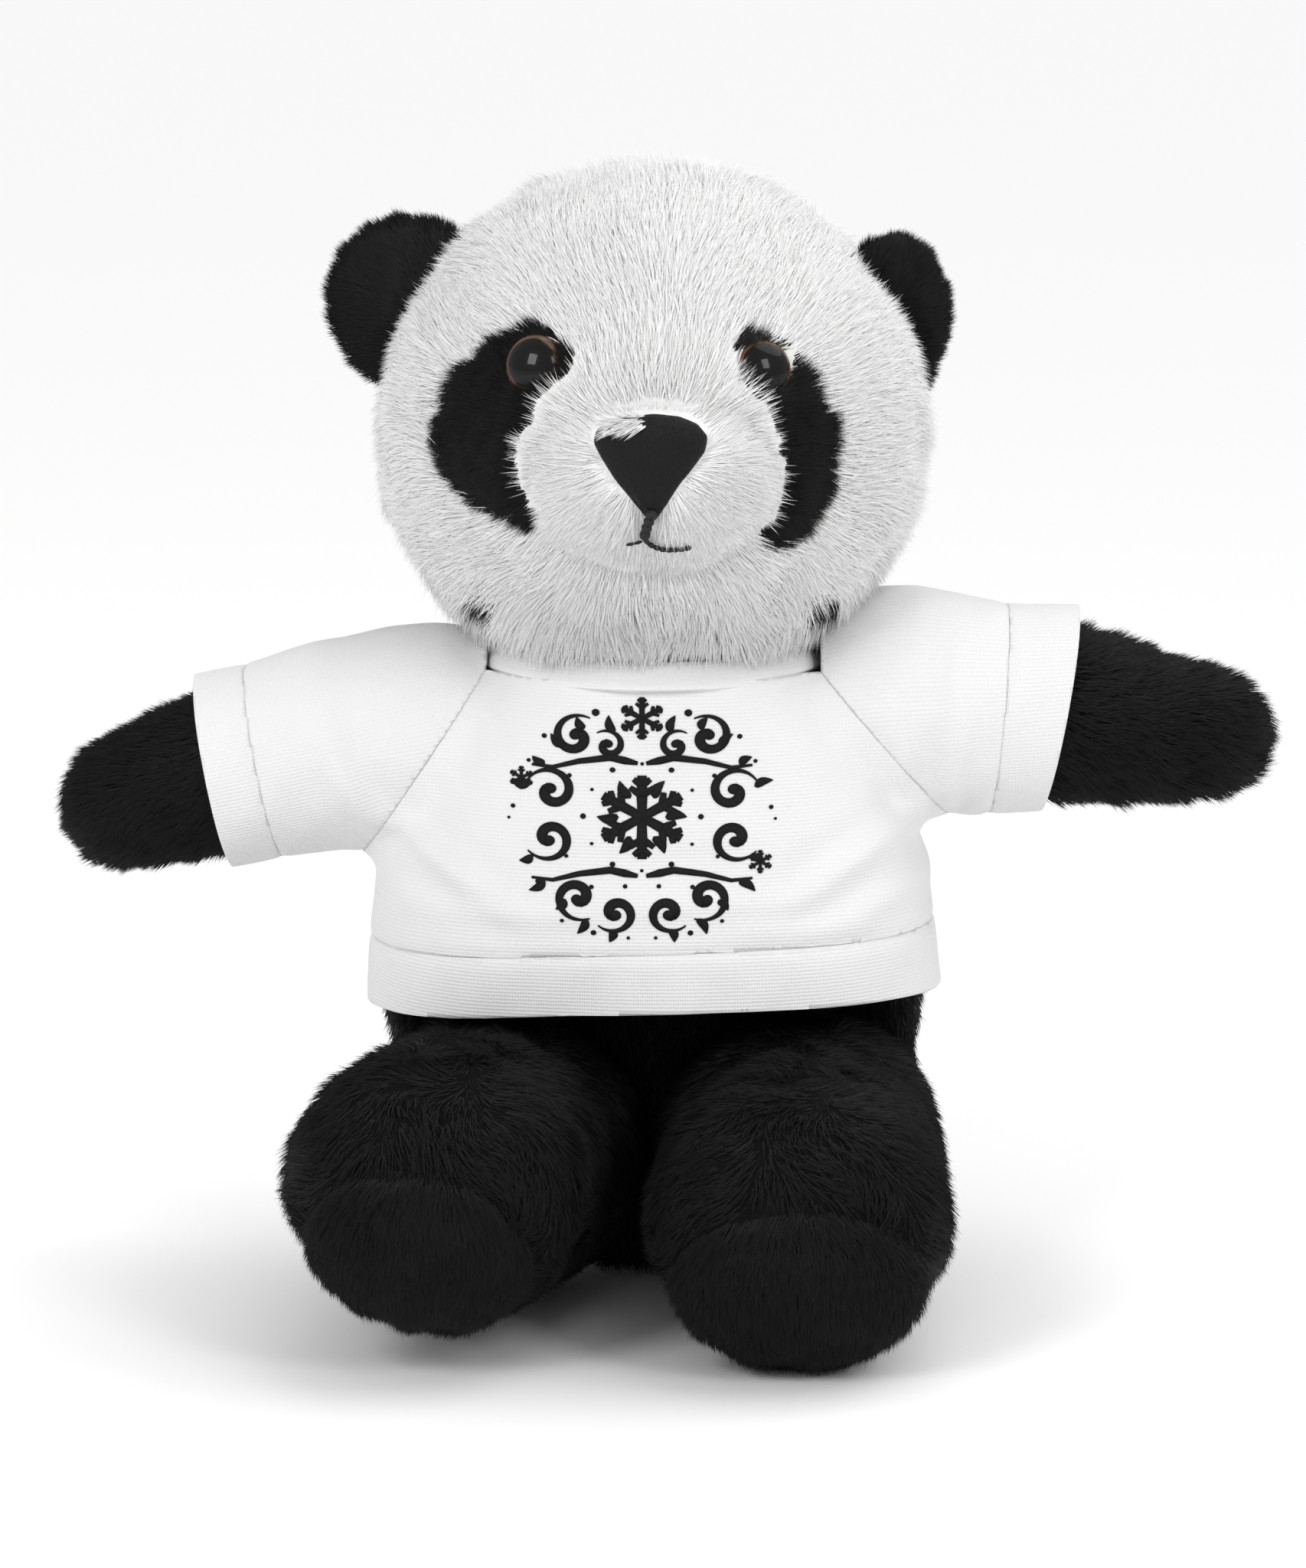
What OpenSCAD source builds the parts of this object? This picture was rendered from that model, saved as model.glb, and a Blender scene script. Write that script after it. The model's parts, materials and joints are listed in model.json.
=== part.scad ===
// Plush panda in a T-shirt, sitting with its legs forward.
// Millimetres, +Z up. The panda faces -Y and its own left hand points to +X.
// The origin lies on the surface that it sits on, below the middle of its body.
// Fabric surfaces stand at the middle height of the pile, so the pile's tips reach a little further.

/* [Body] */
// Width of the belly
body_w = 114; // [100:1:136]
// Depth of the belly, front to back
body_d = 86; // [74:1:100]
// Height of the fullest part of the belly
belly_z = 62; // [54:1:70]
// Width of the chest
chest_w = 92; // [84:1:104]
// Depth of the chest, front to back
chest_d = 72; // [64:1:80]
// Height of the middle of the chest
chest_z = 98; // [92:1:104]
// Thickness of the plush fabric with its pile pressed down
skin_t = 3; // [2:0.5:4.5]

/* [Head] */
// Diameter of the head
head_d = 112; // [96:1:134]
// Height of the pivot that the head nods and turns about
neck_z = 108; // [104:1:114]
// Height of the head's lowest point above the neck's pivot, before the neck is let into it
head_up = 14; // [10:1:20]
// Thickness of the neck's stuffing around the chest's rounded top
neck_t = 3.4; // [3:0.1:4]
// Height of the neckband's upper edge above the neck's pivot
collar_h = 23.4; // [21:0.1:25]
// Diameter of the muzzle
muzzle_d = 46; // [38:1:56]
// How far the muzzle stands out from the head
muzzle_out = 9; // [6:0.5:12]
// Diameter of an ear
ear_d = 38; // [30:1:46]
// Thickness of an ear
ear_t = 9; // [6:0.5:13]
// Diameter of a safety eye
eye_d = 12; // [9:0.5:14]
// Width of the nose
nose_w = 22; // [17:0.5:27]
// Height of the nose
nose_h = 20; // [16:0.5:24]

/* [Arms] */
// Diameter of an arm
arm_d = 35; // [29:1:39]
// Length of an arm from the shoulder's pivot to the middle of the paw
arm_l = 55; // [48:1:66]
// Distance of the shoulder's pivot outside the chest
shoulder_out = 6; // [5:0.5:10]
// Height of the shoulder's pivot above the middle of the chest
shoulder_up = 16; // [14:0.5:20]
// Rise of the left arm at rest
arm_rise_left = 5; // [-11:1:15]
// Rise of the right arm at rest
arm_rise_right = -11; // [-11:1:15]

/* [Legs] */
// Diameter of a leg
leg_d = 57; // [47:1:69]
// Length of a leg from the hip's pivot to the middle of the foot
leg_l = 52; // [42:1:64]
// Gap between the two legs at the hips
leg_gap = 4; // [4:0.5:10]
// Distance of the hip's pivot in front of the body's middle
hip_fwd = 16; // [12:1:20]
// Outward turn of the left leg at rest
leg_turn_left = -2; // [-2:1:15]
// Outward turn of the right leg at rest
leg_turn_right = 10; // [0:1:20]
// Rise of the right leg at rest
leg_rise_right = 4; // [0:1:8]
// Distance of the foot panel's seam from the middle of the foot
foot_seam = 14; // [10:1:20]
// Downward tilt of the foot panel
foot_tilt = 35; // [0:1:45]
// Diameter of the stuffing that fills the hip
hip_d = 36; // [30:1:40]
// Steepest lift of a leg, which the hem leaves room for
leg_lift = 10; // [8:1:14]

/* [Shirt] */
// Thickness of the shirt's jersey
cloth_t = 1.2; // [0.8:0.1:1.8]
// Height of the hem band
hem_h = 11; // [8:0.5:14]
// Width of the folded sleeve cuffs
cuff_w = 9; // [6:0.5:12]
// Length of a sleeve from the shoulder's pivot to the cuff's edge
sleeve_l = 37; // [30:1:44]
// How far the shirt is pulled over towards the right arm
shirt_shift = 3.5; // [0:0.5:5]
// Outer diameter of the neckband
neckband_d = 63; // [58:0.5:63]

/* [Fits] */
// Gap between pieces that move against each other
move_gap = 0.6; // [0.4:0.1:1]
// Gap between pieces that are sewn or pressed together
seam_gap = 0.2; // [0.1:0.05:0.3]

/* [Hidden] */
$fn = 96;

// The panda's own left is +X and its right is -X. FAR is larger than the whole object.
LEFT = 1;
RIGHT = -1;
FAR = 400;

// Body: three lying capsules for the seat, the belly and the chest, and a ball for the neck's root.
belly_r = body_d / 2;
belly_a = body_w / 2 - belly_r;
chest_r = chest_d / 2;
chest_a = chest_w / 2 - chest_r;
seat_step = 1;
seat_sunk = 4;
seat_r = belly_r - seat_step;
seat_z = seat_r - seat_sunk;
body_seam_y = 0.8;
shirt_seam_y = 5;

// Head and neck: the neck's root, the neck and the head's hollow are balls about one pivot.
head_r = head_d / 2;
root_r = chest_r;
neck_r = root_r + neck_t;
neck_pos = [0, 0, neck_z];
head_pos = neck_pos + [0, 0, head_r + head_up];
collar_z = neck_z + collar_h;
head_seam_y = 8;
muzzle_r = muzzle_d / 2;
muzzle_drop = 9;
muzzle_pos = head_pos + [0, -(head_r + muzzle_out - muzzle_r), -muzzle_drop];

// Face: where things stand on the head, as a turn from straight ahead and a tilt upwards
eye_turn = 26.7;
eye_tilt = 17.5;
eye_stem_r = 2;
eye_hole_r = 2.3;
stem_l = 8;
dome_h = 5;
washer_r = eye_d / 2 + 0.5;
washer_t = 1.6;
// A flat washer touches the fabric's hollow side at its rim, so its middle stands off by this much.
skin_in_r = head_r - skin_t;
washer_z = -skin_t - (skin_in_r - sqrt(pow(skin_in_r, 2) - pow(washer_r, 2))) - seam_gap - washer_t;
ear_tilt = 28;
ear_back = 3;
patch_t = 1.5;
patch_r = 0.36 * head_r;
patch_x = 0.55 * head_r;
patch_up = 0.06 * head_r;
bite_r = 0.34 * head_r;
bite_in = 0.22 * head_r;
nose_t = 3.5;
nose_up = 8;
thread_w = 1.4;
thread_t = 0.9;
mouth_r = 4.2;
mouth_drop = 4.5;

// Arms and sleeves, each built along its own axis from the shoulder's pivot
arm_r = arm_d / 2;
sleeve_in = arm_r + 2 * seam_gap;
sleeve_out = sleeve_in + cloth_t;
cuff_out = sleeve_in + 1.5 * cloth_t;
sleeve_root = 8;
shoulder_x = chest_w / 2 + shoulder_out;
shoulder_z = chest_z + shoulder_up;

// Legs, each built along its own axis from the hip's pivot
leg_r = leg_d / 2;
foot_clear = 1;
hip_x = leg_gap / 2 + leg_r;
hip_z = leg_r + foot_clear;
hip_ball_r = hip_d / 2;
thigh_cut = 8;

// Shirt
shirt_in = 2 * seam_gap;
shirt_out = shirt_in + cloth_t;
// The highest line that a lifted leg reaches, at a place in front of the body.
function lifted_top(y) = hip_z + leg_r / cos(leg_lift) - (hip_fwd + y) * tan(leg_lift);
hem_z = lifted_top(-(belly_r + shirt_out)) + move_gap;
neckband_r = neckband_d / 2;

// Half of a capsule's outline, from the middle of one end up to the other.
module capsule_outline(r, l) {
    intersection() {
        union() {
            circle(r = r);
            translate([0, l]) circle(r = r);
            translate([-r, 0]) square([2 * r, l]);
        }
        translate([0, -r - 1]) square([r + 1, l + 2 * r + 2]);
    }
}

// The wall of a capsule from one place on its axis to another.
module capsule_wall_outline(r_out, r_in, l, from, to) {
    intersection() {
        difference() {
            capsule_outline(r_out, l);
            capsule_outline(r_in, l);
        }
        translate([0, from]) square([r_out + 1, to - from]);
    }
}

module lying_capsule(r, a) {
    rotate([0, 90, 0]) translate([0, 0, -a]) rotate_extrude() capsule_outline(r, 2 * a);
}

module above(z) {
    translate([-FAR / 2, -FAR / 2, z]) cube([FAR, FAR, FAR]);
}

module below(z) {
    translate([-FAR / 2, -FAR / 2, z - FAR]) cube([FAR, FAR, FAR]);
}

module before(y) {
    translate([-FAR / 2, y - FAR, -FAR / 2]) cube([FAR, FAR, FAR]);
}

module behind(y) {
    translate([-FAR / 2, y, -FAR / 2]) cube([FAR, FAR, FAR]);
}

// The body's outer surface, moved outwards by a distance.
module body_shape(out) {
    translate([0, 0, seat_z]) lying_capsule(seat_r + out, belly_a);
    translate([0, 0, belly_z]) lying_capsule(belly_r + out, belly_a);
    translate([0, 0, chest_z]) lying_capsule(chest_r + out, chest_a);
    translate(neck_pos) sphere(r = root_r + out);
}

// What the arms, the legs and the neck swing in, taken out of the body and the shirt.
module limb_room() {
    for (side = [LEFT, RIGHT]) {
        translate([side * shoulder_x, 0, shoulder_z]) sphere(r = cuff_out + move_gap);
        translate([side * hip_x, -hip_fwd, hip_z]) sphere(r = leg_r + move_gap);
    }
    translate([-FAR / 2, -FAR - thigh_cut, -1]) cube([FAR, FAR, hem_z + 1]);
    above(collar_z);
}

// Body

// The front panel starts above the thighs, and the back panel wraps round the sides to meet it.
module body_front() {
    color("#1c1c1e") difference() {
        body_shape(0);
        body_shape(-skin_t);
        limb_room();
        below(hem_z + seam_gap);
        behind(body_seam_y - seam_gap / 2);
    }
}

module body_back() {
    color("#1a1a1c") difference() {
        body_shape(0);
        body_shape(-skin_t);
        limb_room();
        below(skin_t + seam_gap);
        before(body_seam_y + seam_gap / 2);
    }
}

module seat_panel() {
    color("#232326") difference() {
        body_shape(0);
        limb_room();
        below(0);
        above(skin_t);
    }
}

module body_fill() {
    color("#f4f4f0") difference() {
        body_shape(-skin_t - seam_gap);
        limb_room();
        below(skin_t + seam_gap);
    }
}

// Head

module neck_fill() {
    color("#f4f4f0") difference() {
        translate(neck_pos) sphere(r = neck_r);
        below(collar_z + move_gap);
    }
}

module neck_room() {
    translate(neck_pos) sphere(r = neck_r + move_gap);
}

// A hollow ball about the head's middle, between two places along Y.
module head_wall(r_out, r_in, from_y, to_y) {
    translate(head_pos) rotate([-90, 0, 0]) rotate_extrude() intersection() {
        difference() {
            circle(r = r_out);
            circle(r = r_in);
        }
        translate([0, from_y]) square([r_out + 1, to_y - from_y]);
    }
}

// Puts a child, modelled along +Z from the head's surface, at the eye on one side.
module at_eye(side) {
    translate(head_pos) rotate([90 - eye_tilt, 0, side * eye_turn]) translate([0, 0, head_r]) children();
}

module eye_holes() {
    for (side = [LEFT, RIGHT])
        at_eye(side) translate([0, 0, -stem_l - 2]) cylinder(r = eye_hole_r, h = stem_l + 4);
}

// What the washers press into the stuffing.
module washer_rooms() {
    for (side = [LEFT, RIGHT])
        at_eye(side) translate([0, 0, washer_z - seam_gap]) cylinder(r = washer_r + seam_gap, h = -washer_z);
}

module face_panel() {
    color("#f2f2f0") difference() {
        head_wall(head_r, head_r - skin_t, -head_r - 1, head_seam_y);
        neck_room();
        eye_holes();
    }
}

module head_back() {
    color("#efefed") difference() {
        head_wall(head_r, head_r - skin_t, head_seam_y + seam_gap, head_r + 1);
        neck_room();
    }
}

module head_fill() {
    color("#f4f4f0") difference() {
        translate(head_pos) sphere(r = head_r - skin_t - seam_gap);
        neck_room();
        eye_holes();
        washer_rooms();
    }
}

module muzzle() {
    color("#f6f6f4") difference() {
        translate(muzzle_pos) sphere(r = muzzle_r);
        translate(muzzle_pos) sphere(r = muzzle_r - skin_t);
        translate(head_pos) sphere(r = head_r + seam_gap);
    }
}

module muzzle_fill() {
    color("#f4f4f0") difference() {
        translate(muzzle_pos) sphere(r = muzzle_r - skin_t - seam_gap);
        translate(head_pos) sphere(r = head_r + seam_gap);
    }
}

// A flat outline, drawn in X and Z about a place, pushed forwards through the object.
module from_front(pos) {
    translate(pos) rotate([90, 0, 0]) linear_extrude(height = FAR / 2) children();
}

// A layer that lies on the muzzle.
module on_muzzle(thickness) {
    difference() {
        translate(muzzle_pos) sphere(r = muzzle_r + thickness);
        translate(muzzle_pos) sphere(r = muzzle_r + seam_gap);
    }
}

module nose_outline() {
    corner_r = 4;
    tip_r = 2;
    hull() {
        for (side = [LEFT, RIGHT])
            translate([side * (nose_w / 2 - corner_r), nose_h / 2 - corner_r]) circle(r = corner_r, $fn = 24);
        translate([0, tip_r - nose_h / 2]) circle(r = tip_r, $fn = 24);
    }
}

module nose() {
    color("#0d0d0e") intersection() {
        on_muzzle(nose_t);
        from_front(muzzle_pos + [0, 0, nose_up]) nose_outline();
    }
}

// A line down from the nose that parts into two hooks.
module mouth_outline() {
    translate([-thread_w / 2, -mouth_drop]) square([thread_w, mouth_drop]);
    intersection() {
        union() {
            for (side = [LEFT, RIGHT])
                translate([side * mouth_r, -mouth_drop]) difference() {
                    circle(r = mouth_r + thread_w / 2);
                    circle(r = mouth_r - thread_w / 2);
                }
        }
        translate([-3 * mouth_r, -mouth_drop - 2 * mouth_r]) square([6 * mouth_r, 2 * mouth_r]);
    }
}

module mouth() {
    color("#151516") intersection() {
        on_muzzle(thread_t);
        from_front(muzzle_pos + [0, 0, nose_up - nose_h / 2 - seam_gap]) mouth_outline();
    }
}

// A crescent that opens towards the nose.
module patch(side) {
    color("#1c1c1e") difference() {
        intersection() {
            head_wall(head_r + patch_t, head_r + seam_gap, -head_r - patch_t - 1, 0);
            from_front(head_pos + [side * patch_x, 0, patch_up]) difference() {
                circle(r = patch_r);
                translate([-side * bite_in, -bite_in / 2]) circle(r = bite_r);
            }
        }
        at_eye(side) translate([0, 0, -1]) cylinder(r = eye_hole_r, h = dome_h);
        translate(muzzle_pos) sphere(r = muzzle_r + seam_gap);
    }
}

// A domed eye with a stem that goes through the fabric.
module eye(side) {
    dome_r = (pow(eye_d / 2, 2) + pow(dome_h, 2)) / (2 * dome_h);
    dome_z = patch_t + 2 * seam_gap;
    color("#3a2412") at_eye(side) {
        difference() {
            translate([0, 0, dome_z + dome_h - dome_r]) sphere(r = dome_r);
            translate([0, 0, dome_z - 2 * dome_r]) cylinder(r = 2 * dome_r, h = 2 * dome_r);
        }
        translate([0, 0, -stem_l]) cylinder(r = eye_stem_r, h = stem_l + dome_z + 1);
    }
}

// A lock washer pressed onto the stem behind the fabric.
module washer(side) {
    color("#e8e8e2") at_eye(side) translate([0, 0, washer_z]) difference() {
        cylinder(r = washer_r, h = washer_t);
        translate([0, 0, -1]) cylinder(r = eye_stem_r + seam_gap / 4, h = washer_t + 2);
    }
}

// Half of an ear's thickness, with a rounded rim: turned over, it is the other half.
module ear_panel(side, front) {
    rim_r = ear_t / 2;
    ear_out = head_r - 1;
    color("#1c1c1e") difference() {
        translate(head_pos + [side * ear_out * cos(ear_tilt), ear_back, ear_out * sin(ear_tilt)])
            rotate([front ? 90 : -90, 0, 0])
            rotate_extrude() intersection() {
                union() {
                    translate([ear_d / 2 - rim_r, 0]) circle(r = rim_r);
                    square([ear_d / 2 - rim_r, rim_r]);
                }
                translate([0, seam_gap / 2]) square([ear_d, rim_r]);
            }
        translate(head_pos) sphere(r = head_r + seam_gap);
    }
}

// Arms

// Puts a child, modelled along +Z from the shoulder's pivot, at one side's rest angle.
module at_shoulder(side) {
    rise = side == LEFT ? arm_rise_left : arm_rise_right;
    translate([side * shoulder_x, 0, shoulder_z]) rotate([0, side * (90 - rise), 0]) children();
}

module arm_panel(side, front) {
    color("#1c1c1e") at_shoulder(side) rotate([0, 0, front ? 180 : 0]) rotate_extrude(angle = 180)
        capsule_wall_outline(arm_r, arm_r - skin_t, arm_l, -arm_r - 1, arm_l + arm_r + 1);
}

module arm_fill(side) {
    color("#f4f4f0") at_shoulder(side) rotate_extrude() capsule_outline(arm_r - skin_t - seam_gap, arm_l);
}

// Legs

// Puts a child, modelled along +Z from the hip's pivot, at one side's rest angles.
module at_hip(side) {
    turn = side == LEFT ? leg_turn_left : leg_turn_right;
    rise = side == LEFT ? 0 : leg_rise_right;
    translate([side * hip_x, -hip_fwd, hip_z]) rotate([90 - rise, 0, side * turn]) children();
}

module leg_skin(side) {
    at_hip(side) rotate_extrude()
        capsule_wall_outline(leg_r, leg_r - skin_t, leg_l, -leg_r - 1, leg_l + leg_r + 1);
}

// Puts a child, modelled along +Z, at the foot panel's seam.
module at_sole(side) {
    at_hip(side) translate([0, 0, leg_l]) rotate([foot_tilt, 0, 0]) translate([0, 0, foot_seam]) children();
}

module leg(side) {
    color("#1c1c1e") difference() {
        leg_skin(side);
        at_sole(side) above(0);
    }
}

module foot(side) {
    color("#222224") difference() {
        leg_skin(side);
        at_sole(side) below(seam_gap);
    }
}

module leg_fill(side) {
    color("#f4f4f0") at_hip(side) rotate_extrude() difference() {
        capsule_outline(leg_r - skin_t - seam_gap, leg_l);
        circle(r = hip_ball_r + move_gap);
    }
}

module hip_fill(side) {
    color("#f4f4f0") translate([side * hip_x, -hip_fwd, hip_z]) sphere(r = hip_ball_r);
}

// Shirt

module neck_hole(r) {
    translate([0, 0, chest_z]) cylinder(r = r, h = FAR);
}

module shirt_front() {
    color("#fbfbfb") difference() {
        body_shape(shirt_out);
        body_shape(shirt_in);
        limb_room();
        neck_hole(neckband_r + seam_gap);
        below(hem_z + hem_h);
        behind(shirt_seam_y - seam_gap / 2);
    }
}

module shirt_back() {
    color("#f8f8f8") difference() {
        body_shape(shirt_out);
        body_shape(shirt_in);
        limb_room();
        neck_hole(neckband_r + seam_gap);
        below(hem_z + hem_h);
        before(shirt_seam_y + seam_gap / 2);
    }
}

module hem_band() {
    color("#ffffff") difference() {
        body_shape(shirt_out);
        body_shape(shirt_in);
        limb_room();
        below(hem_z);
        above(hem_z + hem_h - seam_gap);
    }
}

module neckband() {
    color("#ffffff") difference() {
        neck_hole(neckband_r);
        neck_hole(neckband_r - cloth_t);
        body_shape(shirt_in);
        limb_room();
    }
}

function sleeve_end(side) = sleeve_l - side * shirt_shift;

module sleeve(side) {
    color("#fbfbfb") at_shoulder(side) rotate_extrude()
        capsule_wall_outline(sleeve_out, sleeve_in, arm_l, -sleeve_root, sleeve_end(side) - cuff_w - seam_gap);
}

module cuff(side) {
    color("#ffffff") at_shoulder(side) rotate_extrude()
        translate([sleeve_in, sleeve_end(side) - cuff_w]) square([cuff_out - sleeve_in, cuff_w]);
}

body_front();
body_back();
seat_panel();
body_fill();
neck_fill();
face_panel();
head_back();
head_fill();
muzzle();
muzzle_fill();
nose();
mouth();
patch(LEFT);  // patch_left
patch(RIGHT);  // patch_right
eye(LEFT);  // eye_left
eye(RIGHT);  // eye_right
washer(LEFT);  // washer_left
washer(RIGHT);  // washer_right
ear_panel(LEFT, true);  // ear_left_front
ear_panel(LEFT, false);  // ear_left_back
ear_panel(RIGHT, true);  // ear_right_front
ear_panel(RIGHT, false);  // ear_right_back
arm_panel(LEFT, true);  // arm_left_front
arm_panel(LEFT, false);  // arm_left_back
arm_fill(LEFT);  // arm_left_fill
arm_panel(RIGHT, true);  // arm_right_front
arm_panel(RIGHT, false);  // arm_right_back
arm_fill(RIGHT);  // arm_right_fill
hip_fill(LEFT);  // hip_left_fill
leg(LEFT);  // leg_left
foot(LEFT);  // foot_left
leg_fill(LEFT);  // leg_left_fill
hip_fill(RIGHT);  // hip_right_fill
leg(RIGHT);  // leg_right
foot(RIGHT);  // foot_right
leg_fill(RIGHT);  // leg_right_fill
shirt_front();
shirt_back();
neckband();
hem_band();
sleeve(LEFT);  // sleeve_left
cuff(LEFT);  // cuff_left
sleeve(RIGHT);  // sleeve_right
cuff(RIGHT);  // cuff_right
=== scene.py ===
import json
import math

import bmesh
import bpy
import numpy as np
from mathutils import Matrix, Vector
from mathutils.bvhtree import BVHTree


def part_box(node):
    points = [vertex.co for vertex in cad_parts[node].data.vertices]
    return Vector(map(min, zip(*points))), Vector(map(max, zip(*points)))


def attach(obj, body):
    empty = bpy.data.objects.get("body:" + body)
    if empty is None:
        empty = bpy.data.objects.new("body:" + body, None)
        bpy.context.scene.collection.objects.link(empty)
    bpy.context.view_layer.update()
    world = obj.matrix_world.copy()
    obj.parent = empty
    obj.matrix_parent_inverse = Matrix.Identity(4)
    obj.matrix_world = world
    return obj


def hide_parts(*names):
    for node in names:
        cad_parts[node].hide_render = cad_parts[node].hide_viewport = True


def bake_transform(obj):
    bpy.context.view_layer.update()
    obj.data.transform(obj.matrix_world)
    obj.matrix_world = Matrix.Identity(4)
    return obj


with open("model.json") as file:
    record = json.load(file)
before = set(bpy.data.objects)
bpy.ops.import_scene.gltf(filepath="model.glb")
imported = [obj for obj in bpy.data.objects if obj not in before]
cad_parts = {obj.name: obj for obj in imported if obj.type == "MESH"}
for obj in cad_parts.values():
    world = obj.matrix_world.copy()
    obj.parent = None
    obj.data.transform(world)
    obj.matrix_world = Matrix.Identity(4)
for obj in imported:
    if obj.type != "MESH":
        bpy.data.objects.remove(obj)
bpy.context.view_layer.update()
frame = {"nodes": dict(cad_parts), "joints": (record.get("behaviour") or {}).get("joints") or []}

bl_info = {
    "name": "Plush panda",
    "version": (1, 0, 0),
    "blender": (4, 5, 0),
    "location": "3D View > Sidebar > Panda",
    "description": "Builds the fur, the stuffing, the T-shirt and the face of a plush panda around its frame",
    "category": "Add Mesh",
}

# Shapes are worked out in millimetres and made in metres.
MM = 0.001
LEFT, RIGHT = 1, -1
SIDE_NAMES = {LEFT: "left", RIGHT: "right"}

JOINTS = {joint["name"]: joint for joint in frame["joints"]}
face_low, face_high = (np.array(v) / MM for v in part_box("face_panel"))
HEAD_R = (face_high[0] - face_low[0]) / 2
HEAD = np.array([0, 0, face_high[2] - HEAD_R])
NECK = np.array(JOINTS["neck_turn"]["pos_m"]) / MM
SHOULDER = {side: np.array(JOINTS["shoulder_" + SIDE_NAMES[side]]["pos_m"]) / MM for side in SIDE_NAMES}
HIP = {side: np.array(JOINTS["hip_turn_" + SIDE_NAMES[side]]["pos_m"]) / MM for side in SIDE_NAMES}
MUZZLE = HEAD + [0, -42, -5.5]
MUZZLE_R = 23
NOSE_TIP = HEAD + [0, -64, -2]

# The face is drawn on a plane that leans back by this much, and is laid on the head from there.
FACE_LEAN = math.radians(10)
FACE_MIDDLE = HEAD + [0, 0, -4.9]

# Where the black fur around the eyes shows: across and up from the middle of the face, on the face's plane
PATCH_RIGHT = [
    (-23.2, 21.8), (-27.2, 21.4), (-30.5, 20), (-33.2, 18), (-36.5, 15.8), (-39.8, 13.8),
    (-41.4, 9.9), (-43.4, 5.2), (-43.8, 0.6), (-43, -3.4), (-41.4, -8), (-37.8, -11.3),
    (-33.2, -14), (-29, -16.3), (-26.9, -17.6), (-23, -18.5), (-23.8, -15.6), (-26, -12),
    (-27.5, -8.7), (-28.4, -5.4), (-28, -2), (-26, 0.6), (-24.9, 3.2), (-24.5, 6), (-23, 8.5),
    (-17.8, 11.8), (-16.2, 16.8), (-18.8, 19), (-20.6, 21.4),
]
PATCH_LEFT = [
    (16.5, 20), (18.8, 20), (21.8, 19.5), (24.5, 18.5), (27, 16.5), (28.8, 14.2), (31, 12.5),
    (32.4, 10), (33, 7.2), (35.7, 4.6), (36, -2.7), (36, -6.7), (35.4, -10.7), (33.7, -14),
    (32.7, -16.6), (30, -19.6), (27.4, -21.3), (24.5, -22.3), (21.8, -21.6), (22, -19),
    (24.5, -17.3), (26, -15.6), (26.4, -12), (27, -8.7), (26.4, -5.4), (25.8, -1.4), (24.8, 2.6),
    (23.8, 5.2), (23.4, 8), (19.2, 11.2), (17.8, 11.5), (18, 14.5), (17.5, 16.5), (15.8, 18),
]
EYES = {RIGHT: (-23.0, 13.3), LEFT: (21.2, 12.4)}
EYE_SHOWS = {RIGHT: (0.5, 4.6), LEFT: (1.2, 3.7)}
NOSE_OUTLINE = [
    (-11, 0.6), (-9, 2.2), (-5, 3), (0, 3.6), (5, 3.2), (8.6, 1.8), (10.6, -0.6), (10.2, -3.4),
    (7.6, -7), (5, -10.2), (2.4, -14.2), (0.2, -17.2), (-1.8, -15.8), (-4.4, -12.6), (-7.4, -9),
    (-10, -4.8), (-11.6, -1.6),
]


class PandaSizes(bpy.types.PropertyGroup):
    """Sizes of the pile and the shirt"""

    white_pile: bpy.props.FloatProperty(
        name="White pile", description="Length of the white fibres", default=8.5 * MM, unit="LENGTH")
    black_pile: bpy.props.FloatProperty(
        name="Black pile", description="Length of the black fibres", default=6 * MM, unit="LENGTH")
    fibre: bpy.props.FloatProperty(
        name="Tuft width", description="Width of one tuft of fibres at its root", default=0.34 * MM,
        unit="LENGTH")
    density: bpy.props.FloatProperty(
        name="Density", description="Share of the full number of tufts", default=1.0, min=0.05, max=1.0,
        subtype="FACTOR")
    rise_left: bpy.props.FloatProperty(
        name="Left arm's rise", description="Rise of the left arm at rest", default=math.radians(5),
        subtype="ANGLE")
    rise_right: bpy.props.FloatProperty(
        name="Right arm's rise", description="Rise of the right arm at rest", default=math.radians(-11),
        subtype="ANGLE")
    turn_left: bpy.props.FloatProperty(
        name="Left leg's turn", description="Outward turn of the left leg at rest", default=math.radians(-2),
        subtype="ANGLE")
    turn_right: bpy.props.FloatProperty(
        name="Right leg's turn", description="Outward turn of the right leg at rest", default=math.radians(13),
        subtype="ANGLE")
    lift_right: bpy.props.FloatProperty(
        name="Right leg's lift", description="Lift of the right leg at rest", default=math.radians(4),
        subtype="ANGLE")
    cloth: bpy.props.FloatProperty(
        name="Jersey", description="Thickness of the shirt's jersey", default=1.1 * MM, unit="LENGTH")


class PandaColours(bpy.types.PropertyGroup):
    """Colours of the fur, the shirt and the face"""

    white: bpy.props.FloatVectorProperty(
        name="White fur", description="Colour of the white fibres", default=(0.95, 0.95, 0.945),
        subtype="COLOR", min=0, max=1)
    black: bpy.props.FloatVectorProperty(
        name="Black fur", description="Colour of the black fibres", default=(0.0062, 0.0062, 0.0065),
        subtype="COLOR", min=0, max=1)
    shirt: bpy.props.FloatVectorProperty(
        name="Shirt", description="Colour of the jersey", default=(0.79, 0.79, 0.793),
        subtype="COLOR", min=0, max=1)
    ink: bpy.props.FloatVectorProperty(
        name="Ink", description="Colour of the printed ornament", default=(0.007, 0.007, 0.0075),
        subtype="COLOR", min=0, max=1)
    iris: bpy.props.FloatVectorProperty(
        name="Eye ring", description="Colour of the ring around the pupil", default=(0.11, 0.052, 0.03),
        subtype="COLOR", min=0, max=1)


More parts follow.
